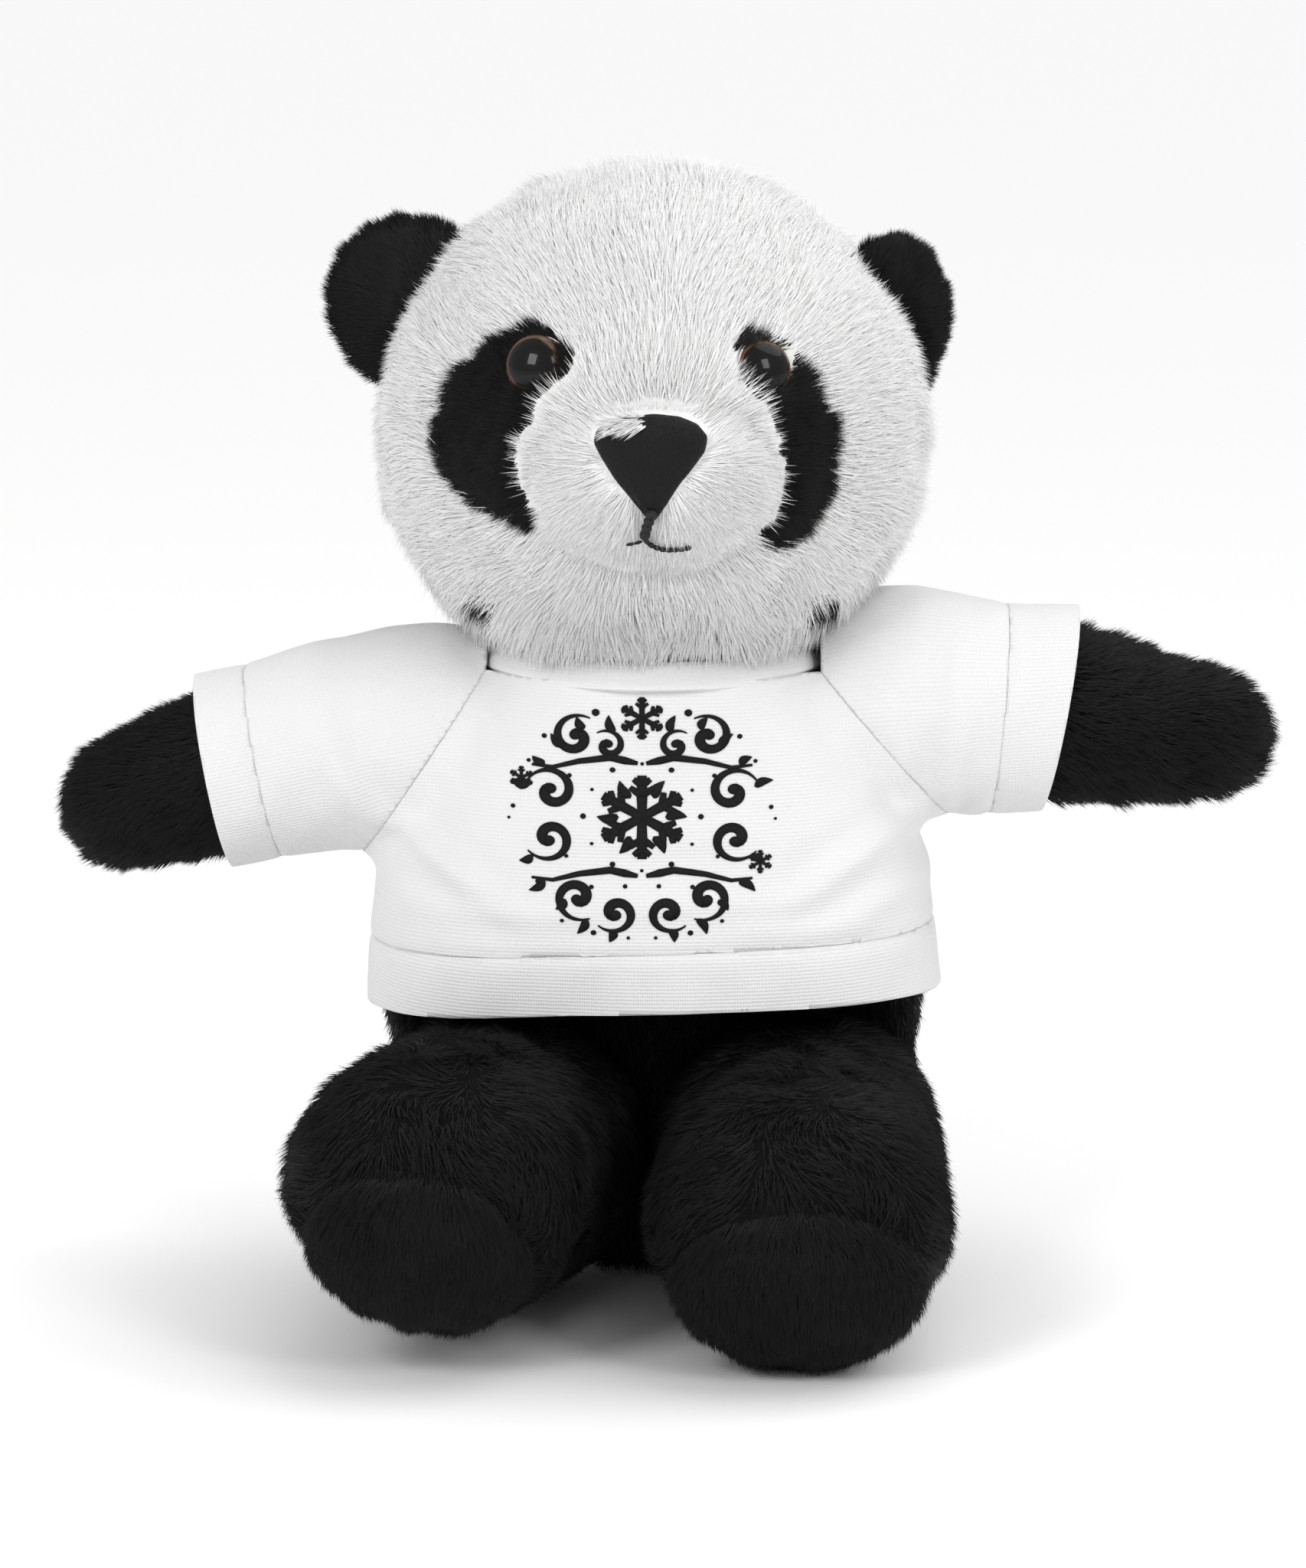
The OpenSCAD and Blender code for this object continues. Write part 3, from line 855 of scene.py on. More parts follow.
class PANDA_OT_patches(bpy.types.Operator):
    """Plants the black fur around the eyes"""

    bl_idname = "panda.patches"
    bl_label = "Eye patches"

    def execute(self, context):
        skins = [shape_of(bpy.data.objects[name]) for name in ("head_plush", "muzzle_plush")]
        for side, outline in ((LEFT, PATCH_LEFT), (RIGHT, PATCH_RIGHT)):
            where = lambda p: bare_face(p) * within(fanned(p, 2.9), outline)
            outer = [lambda p: where(p) * (distance(p, MUZZLE) > MUZZLE_R - 2),
                     lambda p: where(p) * (distance(p, HEAD) > HEAD_R - 4)]
            for number, (skin, on) in enumerate(zip(skins, outer)):
                if on(skin[0]).sum() < 8:
                    continue
                count = int(15000 * on(skin[0]).sum() / 100)
                name = f"patch_{SIDE_NAMES[side]}_fur{'_low' * number}"
                made = grow(name, "head", skin, min(count, 16000), patch_comb, on, black_fur(),
                            sizes().black_pile / MM, 0.85, seed=20 + number, clump=1.8)
                if number == 0:
                    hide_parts("patch_" + SIDE_NAMES[side])
        return {"FINISHED"}


# Ears

EAR_R = {LEFT: 16.3, RIGHT: 17.3}
EAR_MIDDLE = {LEFT: HEAD + [47.4, 3, 21.4], RIGHT: HEAD + [-49.2, 3, 25]}
EAR_TURN = {LEFT: math.radians(44), RIGHT: math.radians(-14)}


class PANDA_OT_ears(bpy.types.Operator):
    """Builds the two cupped ears with their black fur"""

    bl_idname = "panda.ears"
    bl_label = "Ears"

    def execute(self, context):
        for side in SIDE_NAMES:
            name = SIDE_NAMES[side]
            turn = Matrix.Rotation(EAR_TURN[side], 3, "Z")
            radii = (EAR_R[side] - 1, 3.4, EAR_R[side] - 0.5)
            ear = ball(f"ear_{name}_plush", EAR_MIDDLE[side], radii, turn)
            even(ear, 1.6, 3)
            points = shape_of(ear)[0]
            flat = (points - EAR_MIDDLE[side]) @ np.array(turn)
            cup = 3.2 * (flat[:, 0] ** 2 + flat[:, 2] ** 2) / EAR_R[side] ** 2 - 1.2
            points += (np.array(turn) @ np.array([0, -1.0, 0])) * cup[:, None]
            set_points(ear, points)
            puff(ear, lambda p: distance(p, HEAD) < HEAD_R, 0.6)
            stuffed(ear, "head", black_ground(), "black_plush", 0.4,
                    f"ear_{name}_front", f"ear_{name}_back")

            def comb(points, normals):
                away = points - EAR_MIDDLE[side] + [side * 12, 0, 9]
                lean, part = 0.62 + 0.1 * wave(points, 7, 83), 0.9 + 0.1 * wave(points, 6, 84)
                return away + 3 * drift(points, 9, 80), lean, part

            out = lambda p: (distance(p, HEAD) > HEAD_R - 3) * 1.0
            grow(f"ear_{name}_fur", "head", shape_of(ear), 15000, comb, out, black_fur(),
                 0.95 * sizes().black_pile / MM, 0.95, seed=31 + side, clump=1.8)
        return {"FINISHED"}


# Face

EYE_R, EYE_RISE = 6.0, 3.7


def dome(side):
    """One eye: a lens with a flat back, a low rim and a radial map."""
    place, look = eye_place(side)
    turn = Vector(look).to_track_quat("Z", "Y").to_matrix()
    piece = ball(f"eye_{SIDE_NAMES[side]}_dome", (0, 0, 0), (EYE_R, EYE_R, EYE_RISE))
    pick(piece)
    bpy.ops.object.mode_set(mode="EDIT")
    bpy.ops.mesh.select_all(action="SELECT")
    bpy.ops.mesh.bisect(plane_co=(0, 0, -0.4 * MM), plane_no=(0, 0, 1), clear_inner=True, use_fill=True)
    bpy.ops.mesh.inset(thickness=0.4 * MM)
    bpy.ops.object.mode_set(mode="OBJECT")
    modify(piece, "BEVEL", width=0.25 * MM, segments=2, limit_method="ANGLE", angle_limit=math.radians(50))
    modify(piece, "SUBSURF", levels=1, render_levels=1)
    layer = own_map(piece, "OFBake")
    for loop in piece.data.loops:
        x, y, _ = piece.data.vertices[loop.vertex_index].co / MM
        layer.data[loop.index].uv = (0.5 + x / EYE_R / 2, 0.5 + y / EYE_R / 2)
    piece.data.transform(Matrix.Translation(Vector(place) * MM) @ turn.to_4x4())
    smooth_all(piece)
    piece.data.materials.append(eye_glass())
    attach(piece, "head")
    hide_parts("eye_" + SIDE_NAMES[side])


class PANDA_OT_eyes(bpy.types.Operator):
    """Builds the glossy safety eyes, and paints the washers behind them"""

    bl_idname = "panda.eyes"
    bl_label = "Eyes"

    def execute(self, context):
        for side in SIDE_NAMES:
            dome(side)
            washer = frame["nodes"]["washer_" + SIDE_NAMES[side]]
            coat(washer, washer_plastic())
        return {"FINISHED"}


def face_point(across, up, depth):
    """The point at a depth that shows at a place on the face's plane."""
    height = (up - depth * math.sin(FACE_LEAN)) / math.cos(FACE_LEAN)
    return FACE_MIDDLE + [across, depth, height]


class PANDA_OT_nose(bpy.types.Operator):
    """Builds the padded nose with its folded edge, and the stitched mouth"""

    bl_idname = "panda.nose"
    bl_label = "Nose and mouth"

    def execute(self, context):
        bpy.ops.object.select_all(action="DESELECT")
        bpy.ops.mesh.primitive_circle_add(vertices=len(NOSE_OUTLINE), radius=MM, fill_type="NGON")
        nose = bpy.context.active_object
        nose.name = "nose_pad"
        middle = np.array(NOSE_OUTLINE).mean(0)
        for vertex, (x, y) in zip(nose.data.vertices, NOSE_OUTLINE[::-1]):
            vertex.co = ((x - middle[0]) * MM, (y - middle[1]) * MM, 0)
        pick(nose)
        bpy.ops.object.mode_set(mode="EDIT")
        bpy.ops.mesh.select_all(action="SELECT")
        bpy.ops.mesh.normals_make_consistent(inside=False)
        bpy.ops.mesh.extrude_region_move(TRANSFORM_OT_translate={"value": (0, 0, 1.6 * MM)})
        bpy.ops.mesh.inset(thickness=0.8 * MM)
        bpy.ops.transform.translate(value=(0, 0, 0.9 * MM))
        bpy.ops.mesh.inset(thickness=1.6 * MM)
        bpy.ops.transform.translate(value=(0, 0, 0.7 * MM))
        bpy.ops.mesh.inset(thickness=1.6 * MM)
        bpy.ops.transform.translate(value=(0, 0, 0.3 * MM))
        bpy.ops.mesh.select_all(action="SELECT")
        bpy.ops.mesh.remove_doubles(threshold=0.02 * MM)
        bpy.ops.mesh.normals_make_consistent(inside=False)
        bpy.ops.object.mode_set(mode="OBJECT")
        close_below(nose)
        even(nose, 0.55, 4)
        points, _, _ = shape_of(nose)
        x, y, rise = points[:, 0] + middle[0], points[:, 1] + middle[1], points[:, 2]
        curve = MUZZLE_R + 1.5
        bent = np.sqrt(np.maximum(curve ** 2 - x ** 2 * 1.1 - ((y + 7) * 0.8) ** 2, 1)) - curve
        depth = NOSE_TIP[1] - HEAD[1] - bent - rise + 2.2
        height = (y - 1 - depth * math.sin(FACE_LEAN)) / math.cos(FACE_LEAN)
        set_points(nose, np.stack([x, depth, height], 1) + FACE_MIDDLE)
        modify(nose, "SUBSURF", levels=1, render_levels=1)
        stuffed(nose, "head", nose_cloth(), "nose_cloth", 0.7, "nose")

        def strand_comb(points, normals):
            count = len(points)
            return np.tile([-0.7, -0.1, -0.7], (count, 1)), np.full(count, 0.8), np.full(count, 0.62)

        def brow(points):
            x, y = on_face(points)
            return ((x > -8.5) & (x < -0.5) & (y > 0.2 + 0.1 * x) & (points[:, 1] < NOSE_TIP[1] + 8)) * 1.0

        grow("nose_strands", "head", shape_of(nose), 330, strand_comb, brow, white_fur(),
             sizes().white_pile / MM, 0.9, seed=14, soft=0.85)

        tree = BVHTree.FromObject(bpy.data.objects["muzzle_plush"], bpy.context.evaluated_depsgraph_get())
        sight = Vector((0, math.cos(FACE_LEAN), -math.sin(FACE_LEAN)))
        line = [(-0.1, -15.5), (-0.8, -17.4), (-1.4, -19.0), (-1.7, -20.4), (-0.7, -21.5), (0.8, -22.2),
                (2.6, -22.5), (4.4, -22.5), (6.0, -22.3), (7.3, -22.0)]
        left_line = [(-2.2, -21.0), (-3.6, -21.4), (-5.0, -21.6)]
        stitches = []
        for path, wide, proud in ((line[:4], 2.2, 4.6), (line[3:], 1.1, 4.9), (left_line, 0.7, 4.5)):
            spots = []
            for x, y in resample(path, 1.15):
                hit = tree.ray_cast(Vector(face_point(x, y, -120)) * MM, sight)[0]
                point = np.array(hit) / MM if hit else face_point(x, y, -60)
                spots.append(point + [0, -proud, 0])
            for start, end in zip(spots, spots[1:]):
                stitches.append(stitch(start, end, wide))
        mouth = join("mouth_stitches", *stitches)
        smooth_all(mouth)
        coat(mouth, thread())
        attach(mouth, "head")
        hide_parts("mouth")
        return {"FINISHED"}


def close_below(piece):
    """Fills what is open, so that the remesh has a closed shape."""
    bm = bmesh.new()
    bm.from_mesh(piece.data)
    bmesh.ops.holes_fill(bm, edges=bm.edges, sides=0)
    bmesh.ops.recalc_face_normals(bm, faces=bm.faces)
    bm.to_mesh(piece.data)
    bm.free()


def resample(path, pitch):
    """Places along a path, evenly apart."""
    path = np.array(path, float)
    run = np.concatenate([[0], np.cumsum(np.linalg.norm(np.diff(path, axis=0), axis=1))])
    at = np.linspace(0, run[-1], max(2, round(run[-1] / pitch) + 1))
    return np.stack([np.interp(at, run, path[:, k]) for k in range(path.shape[1])], 1)


def stitch(start, end, wide):
    """One stitch of thread, a little longer than its step, so that stitches overlap."""
    length = np.linalg.norm(end - start)
    turn = Vector(end - start).to_track_quat("Z", "Y").to_matrix()
    bpy.ops.object.select_all(action="DESELECT")
    bpy.ops.mesh.primitive_uv_sphere_add(segments=8, ring_count=6, radius=1)
    piece = bpy.context.active_object
    size = Matrix.Diagonal((wide / 2 * MM, wide / 2 * MM, 0.66 * length * MM, 1))
    piece.data.transform(Matrix.Translation(Vector((start + end) / 2) * MM) @ turn.to_4x4() @ size)
    return piece


# Limbs

def limb(name, root, axis, up, profile):
    """A round skin along an axis. A row of the profile: the place, the reach sideways and upright, the drop."""
    axis, up = unit(np.array(axis, float)), unit(np.array(up, float))
    side = np.cross(up, axis)
    angle = np.linspace(0, 2 * math.pi, 40, endpoint=False)
    rings = []
    for along, wide, high, drop in profile:
        around = side * (wide * np.cos(angle))[:, None] + up * (high * np.sin(angle))[:, None]
        rings.append(root + axis * along - up * drop + around)
    return tube(name, rings)


def round_end(at, wide, high, drop, reach, steps=7, back=False):
    """The rounded end of a limb's profile."""
    rows = []
    for k in range(steps):
        t = (k + 1) / (steps + 0.35) * math.pi / 2
        rows.append((at + (-1 if back else 1) * reach * math.sin(t), wide * math.cos(t), high * math.cos(t),
                     drop + (0 if back else 1.2 * math.sin(t))))
    return rows[::-1] if back else rows


ARM_R = 15.2

# An arm's places along its length: its reach sideways, its reach upright and its drop
PAWS = {
    LEFT: [(0, 15.2, 15.2, 0), (12, 15.2, 15.2, 0), (24, 15.4, 16, -0.8), (33, 16, 16.8, -1.4),
           (41, 16.2, 16.4, -0.2), (50, 15.6, 14.8, 2.2), (60, 14, 12.8, 4.4)],
    RIGHT: [(0, 15.2, 15.2, 0), (12, 15.2, 15.2, 0), (24, 15.2, 15.2, 0), (33, 15.8, 15.6, 0),
            (41, 15.7, 15.1, 0.7), (50, 15, 14, 1.6), (56.5, 13.8, 12.6, 2.4)],
}
CUFFS = {LEFT: 12.5, RIGHT: 10.5}


def arm_rise(side):
    return sizes().rise_left if side == LEFT else sizes().rise_right


def arm_axes(side):
    """The way that an arm points, and the way up across it."""
    rise = arm_rise(side)
    axis = np.array([side * math.cos(rise), 0, math.sin(rise)])
    up = np.array([-side * math.sin(rise), 0, math.cos(rise)])
    return axis, up


class PANDA_OT_arms(bpy.types.Operator):
    """Builds the stuffed arms, and the black fur of their paws"""

    bl_idname = "panda.arms"
    bl_label = "Arms"

    def execute(self, context):
        for side in SIDE_NAMES:
            name = SIDE_NAMES[side]
            axis, up = arm_axes(side)
            inner, outer = round_end(0, ARM_R, ARM_R, 0, ARM_R, back=True), round_end(*PAWS[side][-1], 14)
            profile = inner + PAWS[side] + outer
            arm = limb(f"arm_{name}_plush", SHOULDER[side], axis, up, profile)
            even(arm, 2.2, 3)
            seam = lambda p: (np.abs(p[:, 1]) < 1.2) & (np.abs((p - SHOULDER[side]) @ axis) < 80)
            puff(arm, seam, 0.9)
            stuffed(arm, "arm_" + name, black_ground(), "black_plush", 0.75,
                    f"arm_{name}_front", f"arm_{name}_back", f"arm_{name}_fill")
            cuff = sleeve_end(side)

            def comb(points, normals):
                direction = axis + [0, 0, -0.35] + 0.3 * drift(points, 13, 90)
                return direction, 0.56 + 0.1 * wave(points, 9, 93), 0.95 + 0.14 * wave(points, 7, 94)

            bare = lambda p: ((p - SHOULDER[side]) @ axis > cuff - 5) * 1.0
            grow(f"arm_{name}_fur", "arm_" + name, shape_of(arm), 17500, comb, bare, black_fur(),
                 sizes().black_pile / MM, 1.0, seed=41 + side)
        return {"FINISHED"}


def sleeve_end(side):
    """How far a sleeve reaches along its arm, from the frame's cuff less a small allowance."""
    low, high = (np.array(v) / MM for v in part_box("cuff_" + SIDE_NAMES[side]))
    rise = arm_rise(side)
    edge = high[0] if side == LEFT else -low[0]
    outer = (high[1] - low[1]) / 2
    allowance = 2 if side == LEFT else 1
    return (edge - abs(SHOULDER[side][0]) - outer * abs(math.sin(rise))) / math.cos(rise) - allowance


LEG_R, LEG_L = 27.0, 52.0
LEG_LOWEST = 2.2
SOLE_TILT, SOLE_OUT = math.radians(35), 14.0


def leg_axes(side):
    """The way that a leg points, and the way up across it."""
    turn = sizes().turn_left if side == LEFT else sizes().turn_right
    lift = 0 if side == LEFT else sizes().lift_right
    flat = np.array([side * math.sin(turn), -math.cos(turn), 0])
    axis = flat * math.cos(lift) + np.array([0, 0, math.sin(lift)])
    up = np.cross(np.cross(axis, [0, 0, 1.0]), axis)
    return axis, unit(up)


class PANDA_OT_legs(bpy.types.Operator):
    """Builds the stuffed legs with their sole panels, and their black fur"""

    bl_idname = "panda.legs"
    bl_label = "Legs"

    def execute(self, context):
        for side in SIDE_NAMES:
            name = SIDE_NAMES[side]
            axis, up = leg_axes(side)
            raised = 0 if side == LEFT else 3.2
            wide, high = LEG_R + 1.7, LEG_R - 0.2 * raised
            profile = round_end(0, LEG_R + 0.8, LEG_R + 1.6, 0, LEG_R - 1, back=True) + [
                (0, LEG_R + 0.8, LEG_R + 1.8, -0.6), (14, LEG_R + 0.6, LEG_R + 1.2, -0.6),
                (28, LEG_R + 0.6, LEG_R + 0.2, -0.3 * raised), (40, LEG_R + 1.2, LEG_R - 0.2, -0.7 * raised),
                (50, wide, high, -raised), (55, wide, high, -raised),
            ] + round_end(55, wide, high, -raised, LEG_R - 4.2)
            leg = limb("leg_" + name + "_plush", HIP[side], axis, up, profile)
            even(leg, 3.0, 3)
            sole = axis * math.cos(SOLE_TILT) - up * math.sin(SOLE_TILT)
            seam_at = lambda p: (p - HIP[side] - axis * LEG_L) @ sole - SOLE_OUT
            points, normals, _ = shape_of(leg)
            crease = np.exp(-(seam_at(points) / 2.4) ** 2)
            ahead, behind = (np.exp(-((seam_at(points) + off) / 7) ** 2) for off in (-8, 8))
            bulge = ahead + 0.8 * behind
            points += normals * (0.7 * bulge - 2.0 * crease + 0.6 * wave(points, 30, 4))[:, None]
            set_points(leg, points)
            puff(leg, lambda p: np.abs(seam_at(p)) < 1.8, 1.2)
            points = shape_of(leg)[0]
            points[:, 2] = np.maximum(points[:, 2], LEG_LOWEST)
            set_points(leg, points)
            stuffed(leg, "leg_" + name, black_ground(), "black_plush", 0.8, "leg_" + name, "foot_" + name,
                    f"leg_{name}_fill")

            across = np.cross(axis, up)

            def leg_comb(points, normals):
                out = ((points - HIP[side]) @ across)[:, None] * across / LEG_R
                direction = out * 0.9 + axis * 0.35 + [0, 0, -0.55]
                direction = direction + 0.55 * drift(points, 19, 100)
                return direction, 0.74 + 0.1 * wave(points, 13, 103), 0.95 + 0.15 * wave(points, 8, 104)

            def sole_comb(points, normals):
                direction = [0, -0.15, -1.0] + 0.28 * drift(points, 16, 110)
                return direction, 0.64 + 0.1 * wave(points, 12, 113), 1.0 + 0.12 * wave(points, 8, 114)

            skin = shape_of(leg)
            out_of_body = lambda p: ((p[:, 1] < HIP[side][1] + 20) & (seam_at(p) <= 0)) * 1.0
            pile = sizes().black_pile / MM
            on_sole = lambda p: (seam_at(p) > 0) * 1.0
            grow(f"leg_{name}_fur", "leg_" + name, skin, 33000, leg_comb, out_of_body, black_fur(),
                 pile, 1.0, seed=51 + side, clump=2.6)
            # The soles' fibres get a painted highlight at their tips 1.9 times stronger than the other black
            # fibres.
            grow(f"sole_{name}_fur", "leg_" + name, skin, 19500, sole_comb, on_sole,
                 black_fur("black sole fibres", 1.9), 1.08 * pile, 0.95, seed=61 + side)
            hip = ball(f"hip_{name}_plush", HIP[side], (17.2, 17.2, 17.2))
            even(hip, 2.5, 2)
            points, normals, _ = shape_of(hip)
            set_points(hip, points + normals * (0.4 * wave(points, 12, 5))[:, None])
            stuffed(hip, "hip_" + name, black_ground(), "stuffing", 0.7, f"hip_{name}_fill")
        return {"FINISHED"}


# Body

HEM_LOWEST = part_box("hem_band")[0][2] / MM
LAP_Y = -9.5
BODY_LOWEST, BODY_HIGHEST = 0.9, 129
NECK_LOWEST = 132.2


class PANDA_OT_body(bpy.types.Operator):
    """Builds the stuffed body, its neck and their black fur"""

    bl_idname = "panda.body"
    bl_label = "Body"

    def execute(self, context):
        body = join("body_plush", *[ball("part", (0, 0, height), radii) for height, radii in (
            (38, (55, 39.5, 36.5)), (62, (56, 40.5, 42)), (98, (43.5, 33.5, 33)), (108, (33, 33, 33)))])
        even(body, 3.2, 6)
        points, normals, _ = shape_of(body)
        sunk = np.exp(-(points[:, 0] / 1.8) ** 2) * (points[:, 1] > 0)
        points += normals * (0.6 * wave(points, 32, 6) - 1.0 * sunk)[:, None]
        lap = points[:, 2] < HEM_LOWEST + 1
        points[lap, 1] = np.maximum(points[lap, 1], LAP_Y)
        points[:, 2] = np.clip(points[:, 2], BODY_LOWEST, BODY_HIGHEST)
        set_points(body, points)
        even(body, 3.0, 3)
        puff(body, lambda p: (p[:, 2] < 4) | (p[:, 2] > 92) | ((p[:, 1] < -6) & (p[:, 2] < 70)), 1.6)
        stuffed(body, "torso", black_ground(), "black_plush", 0.7,
                "body_front", "body_back", "seat_panel", "body_fill")

        def comb(points, normals):
            direction = np.array([0, 0.1, -1.0]) + 0.4 * drift(points, 20, 120)
            return direction, 0.72 + 0.1 * wave(points, 13, 123), 0.95 + 0.12 * wave(points, 8, 124)

        pile = sizes().black_pile / MM
        low = lambda p: ((p[:, 2] < 70) & (p[:, 2] > 1.6)) * 1.0
        grow("body_fur", "torso", shape_of(body), 34000, comb, low, black_fur(), pile, 1.1,
             seed=71, clump=2.8)

        neck = ball("neck_plush", NECK, (37.5, 37.5, 37.5))
        even(neck, 3.0, 2)
        points, normals, _ = shape_of(neck)
        points += normals * (0.4 * wave(points, 18, 7))[:, None]
        points[:, 2] = np.maximum(points[:, 2], NECK_LOWEST)
        set_points(neck, points)
        modify(neck, "REMESH", mode="VOXEL", voxel_size=1.6 * MM, use_smooth_shade=True)
        stuffed(neck, "neck", white_ground(), "stuffing", 0.7, "neck_fill")
        return {"FINISHED"}


# Shirt

COLLAR_X = 34.0
COLLAR_Z = 130.0
COLLAR_ROWS = [(128.6, 36.3), (129.6, 35.9), (130.8, 35.0), (132.0, 34.0), (133.2, 33.2), (134.2, 32.6)]
RAGLAN_LOW = {LEFT: (58.5, 101.0), RIGHT: (59.5, 91.0)}
HEM_SEAM = 76.5
HEM_EDGE = 64.6
HEM_TILT = 0.03
SHIRT_SPLIT_Y = 5.0


def ridge(points, middle, along, across, length, width, height):
    """A soft fold: a ridge with a shallow valley on each side, fading out along its length."""
    away = points - np.array(middle, float)
    down = (away @ unit(np.array(along, float))) / length
    over = (away @ unit(np.array(across, float))) / width
    return height * np.exp(-down ** 2) * (1 - 1.1 * over ** 2) * np.exp(-over ** 2 / 1.6)


def raglan(side):
    """A point on a raglan seam's plane and the plane's outward direction."""
    across, height = RAGLAN_LOW[side]
    direction = unit(np.array([side * (COLLAR_Z - height), 0, across - COLLAR_X]))
    return np.array([side * COLLAR_X, 0, COLLAR_Z]), direction


def cuff_fold(side, out=0):
    """A point on a cuff's seam or, further out, on its edge, and the way that the plane faces."""
    axis, up = arm_axes(side)
    lean = (0.17 + 0.1 * (out > 0)) if side == LEFT else 0
    return SHOULDER[side] + axis * (sleeve_end(side) - CUFFS[side] + out), unit(axis - lean * up)


def droop(piece):
    """Lets the shirt's lower edge hang a little lower at the sides."""
    points, _, _ = shape_of(piece)
    points[:, 2] -= np.clip((92 - points[:, 2]) / 26, 0, 1) * 0.0008 * points[:, 0] ** 2
    return set_points(piece, points)


# A sleeve's places along the arm: its reach sideways, its reach upright and its drop
SHOULDERS = {
    LEFT: [(-24, 23, 18, -5), (-14, 24, 22, -7), (-4, 23, 24, -7.4), (6, 21.8, 24, -6.6),
           (16, 20.8, 23, -4.8), (26, 20.3, 21.8, -3.2), (40, 20, 21.4, -2.2), (52, 20, 21.4, -2.0)],
    RIGHT: [(-24, 23, 18, 1), (-14, 24, 22, 1), (-4, 23.5, 23.5, 1), (6, 21.8, 22.8, 0.4),
            (16, 20.6, 21.8, -0.4), (26, 20.2, 20.8, 0), (40, 20.2, 20.6, 0.2), (52, 20.2, 20.6, 0.2)],
}

# The shirt's body from below upwards: each ring's height, its reach sideways and deep, and its middle's depth
CHEST = [
    (52, 61.5, 47, 1), (64, 61.5, 47.5, 1), (76, 60.8, 46.8, 1), (88, 59, 44.5, 1), (98, 55.5, 41.5, 0.5),
    (107, 51.5, 39, 0), (116, 46.5, 37.5, 0), (124, 40.5, 36, -0.5), (130, 35.5, 34.5, -1), (137, 33, 33, -1),
]


def shirt_form():
    """The whole shirt as one closed, folded shape, which the panels are cut from."""
    angle = np.linspace(0, 2 * math.pi, 72, endpoint=False)
    rings = []
    for z, wide, deep, y in CHEST:
        square = 1 - 0.03 * np.cos(4 * angle)
        rings.append(np.stack([wide * np.cos(angle) * square, y + deep * np.sin(angle) * square,
                               np.full(len(angle), float(z))], 1))
    parts = [tube("torso_part", rings)]
    for side in SIDE_NAMES:
        axis, up = arm_axes(side)
        parts.append(limb("sleeve_part", SHOULDER[side], axis, up, SHOULDERS[side]))
    form = join("shirt_form", *parts)
    even(form, 2.3, 7)
    modify(form, "SUBSURF", levels=1, render_levels=1)
    points, normals, _ = shape_of(form)
    lift = 0.22 * wave(points, 26, 200) + 0.1 * wave(points, 11, 201)
    for middle, along, across, length, width, height in FOLDS:
        lift += ridge(points, middle, along, across, length, width, height)
    for side in SIDE_NAMES:
        origin, outward = raglan(side)
        off = (points - origin) @ outward
        high = points[:, 2] < COLLAR_Z + 1
        lift -= 0.35 * np.exp(-(off / 0.9) ** 2) * high
        outside = side * points[:, 0] > 60
        middle, facing = cuff_fold(side)
        lift -= 0.4 * np.exp(-((points - middle) @ facing / 0.8) ** 2) * outside
    hem = points[:, 2] - HEM_SEAM - HEM_TILT * points[:, 0]
    lift -= 0.5 * np.exp(-(hem / 0.9) ** 2)
    low = np.clip((84 - points[:, 2]) / 20, 0, 1)
    around = np.arctan2(points[:, 0], -points[:, 1])
    lift += low * (0.5 * np.sin(around * 5 + 0.6) + 0.3 * np.sin(around * 9 + 2))
    return set_points(form, points + normals * lift[:, None])


# Each fold: its middle, its direction, the direction across it, its half-length, half-width and height
FOLDS = [
    ((-66, -15, 110), (-0.35, 0, 1), (1, 0, 0.35), 13, 3.2, 1.0),
    ((-57, -22, 99), (-0.5, 0, 1), (1, 0, 0.5), 12, 3.0, 0.9),
    ((60, -20, 116), (0.1, 0, 1), (1, 0, -0.1), 17, 3.0, 1.0),
    ((69, -18, 112), (0.25, 0, 1), (1, 0, -0.25), 13, 2.6, 0.8),
    ((52, -26, 106), (-0.3, 0, 1), (1, 0, 0.3), 13, 3.0, 0.9),
    ((40, -38, 94), (1, 0, 0.8), (-0.6, 0, 1), 15, 3.2, 0.8),
    ((44, -36, 84), (1, 0, 0.35), (-0.3, 0, 1), 14, 3.0, 0.6),
    ((-42, -38, 92), (1, 0, -0.7), (0.6, 0, 1), 14, 3.2, 0.7),
    ((-30, -43, 84), (1, 0, 0.1), (0, 0, 1), 20, 2.6, 0.45),
    ((30, -43, 81), (1, 0, 0.1), (0, 0, 1), 18, 2.4, 0.4),
    ((-45, 30, 95), (1, 0, -0.6), (0.6, 0, 1), 16, 3.5, 0.9),
    ((45, 30, 95), (1, 0, 0.6), (-0.6, 0, 1), 16, 3.5, 0.9),
    ((0, 40, 100), (1, 0, 0.15), (0, 0, 1), 26, 4.0, 0.5),
    ((12, 42, 86), (1, 0, -0.2), (0, 0, 1), 24, 3.2, 0.5),
    ((-63, 14, 112), (-0.3, 0, 1), (1, 0, 0.3), 15, 3.2, 0.9),
    ((63, 14, 114), (0.2, 0, 1), (1, 0, -0.2), 15, 3.2, 0.9),
]


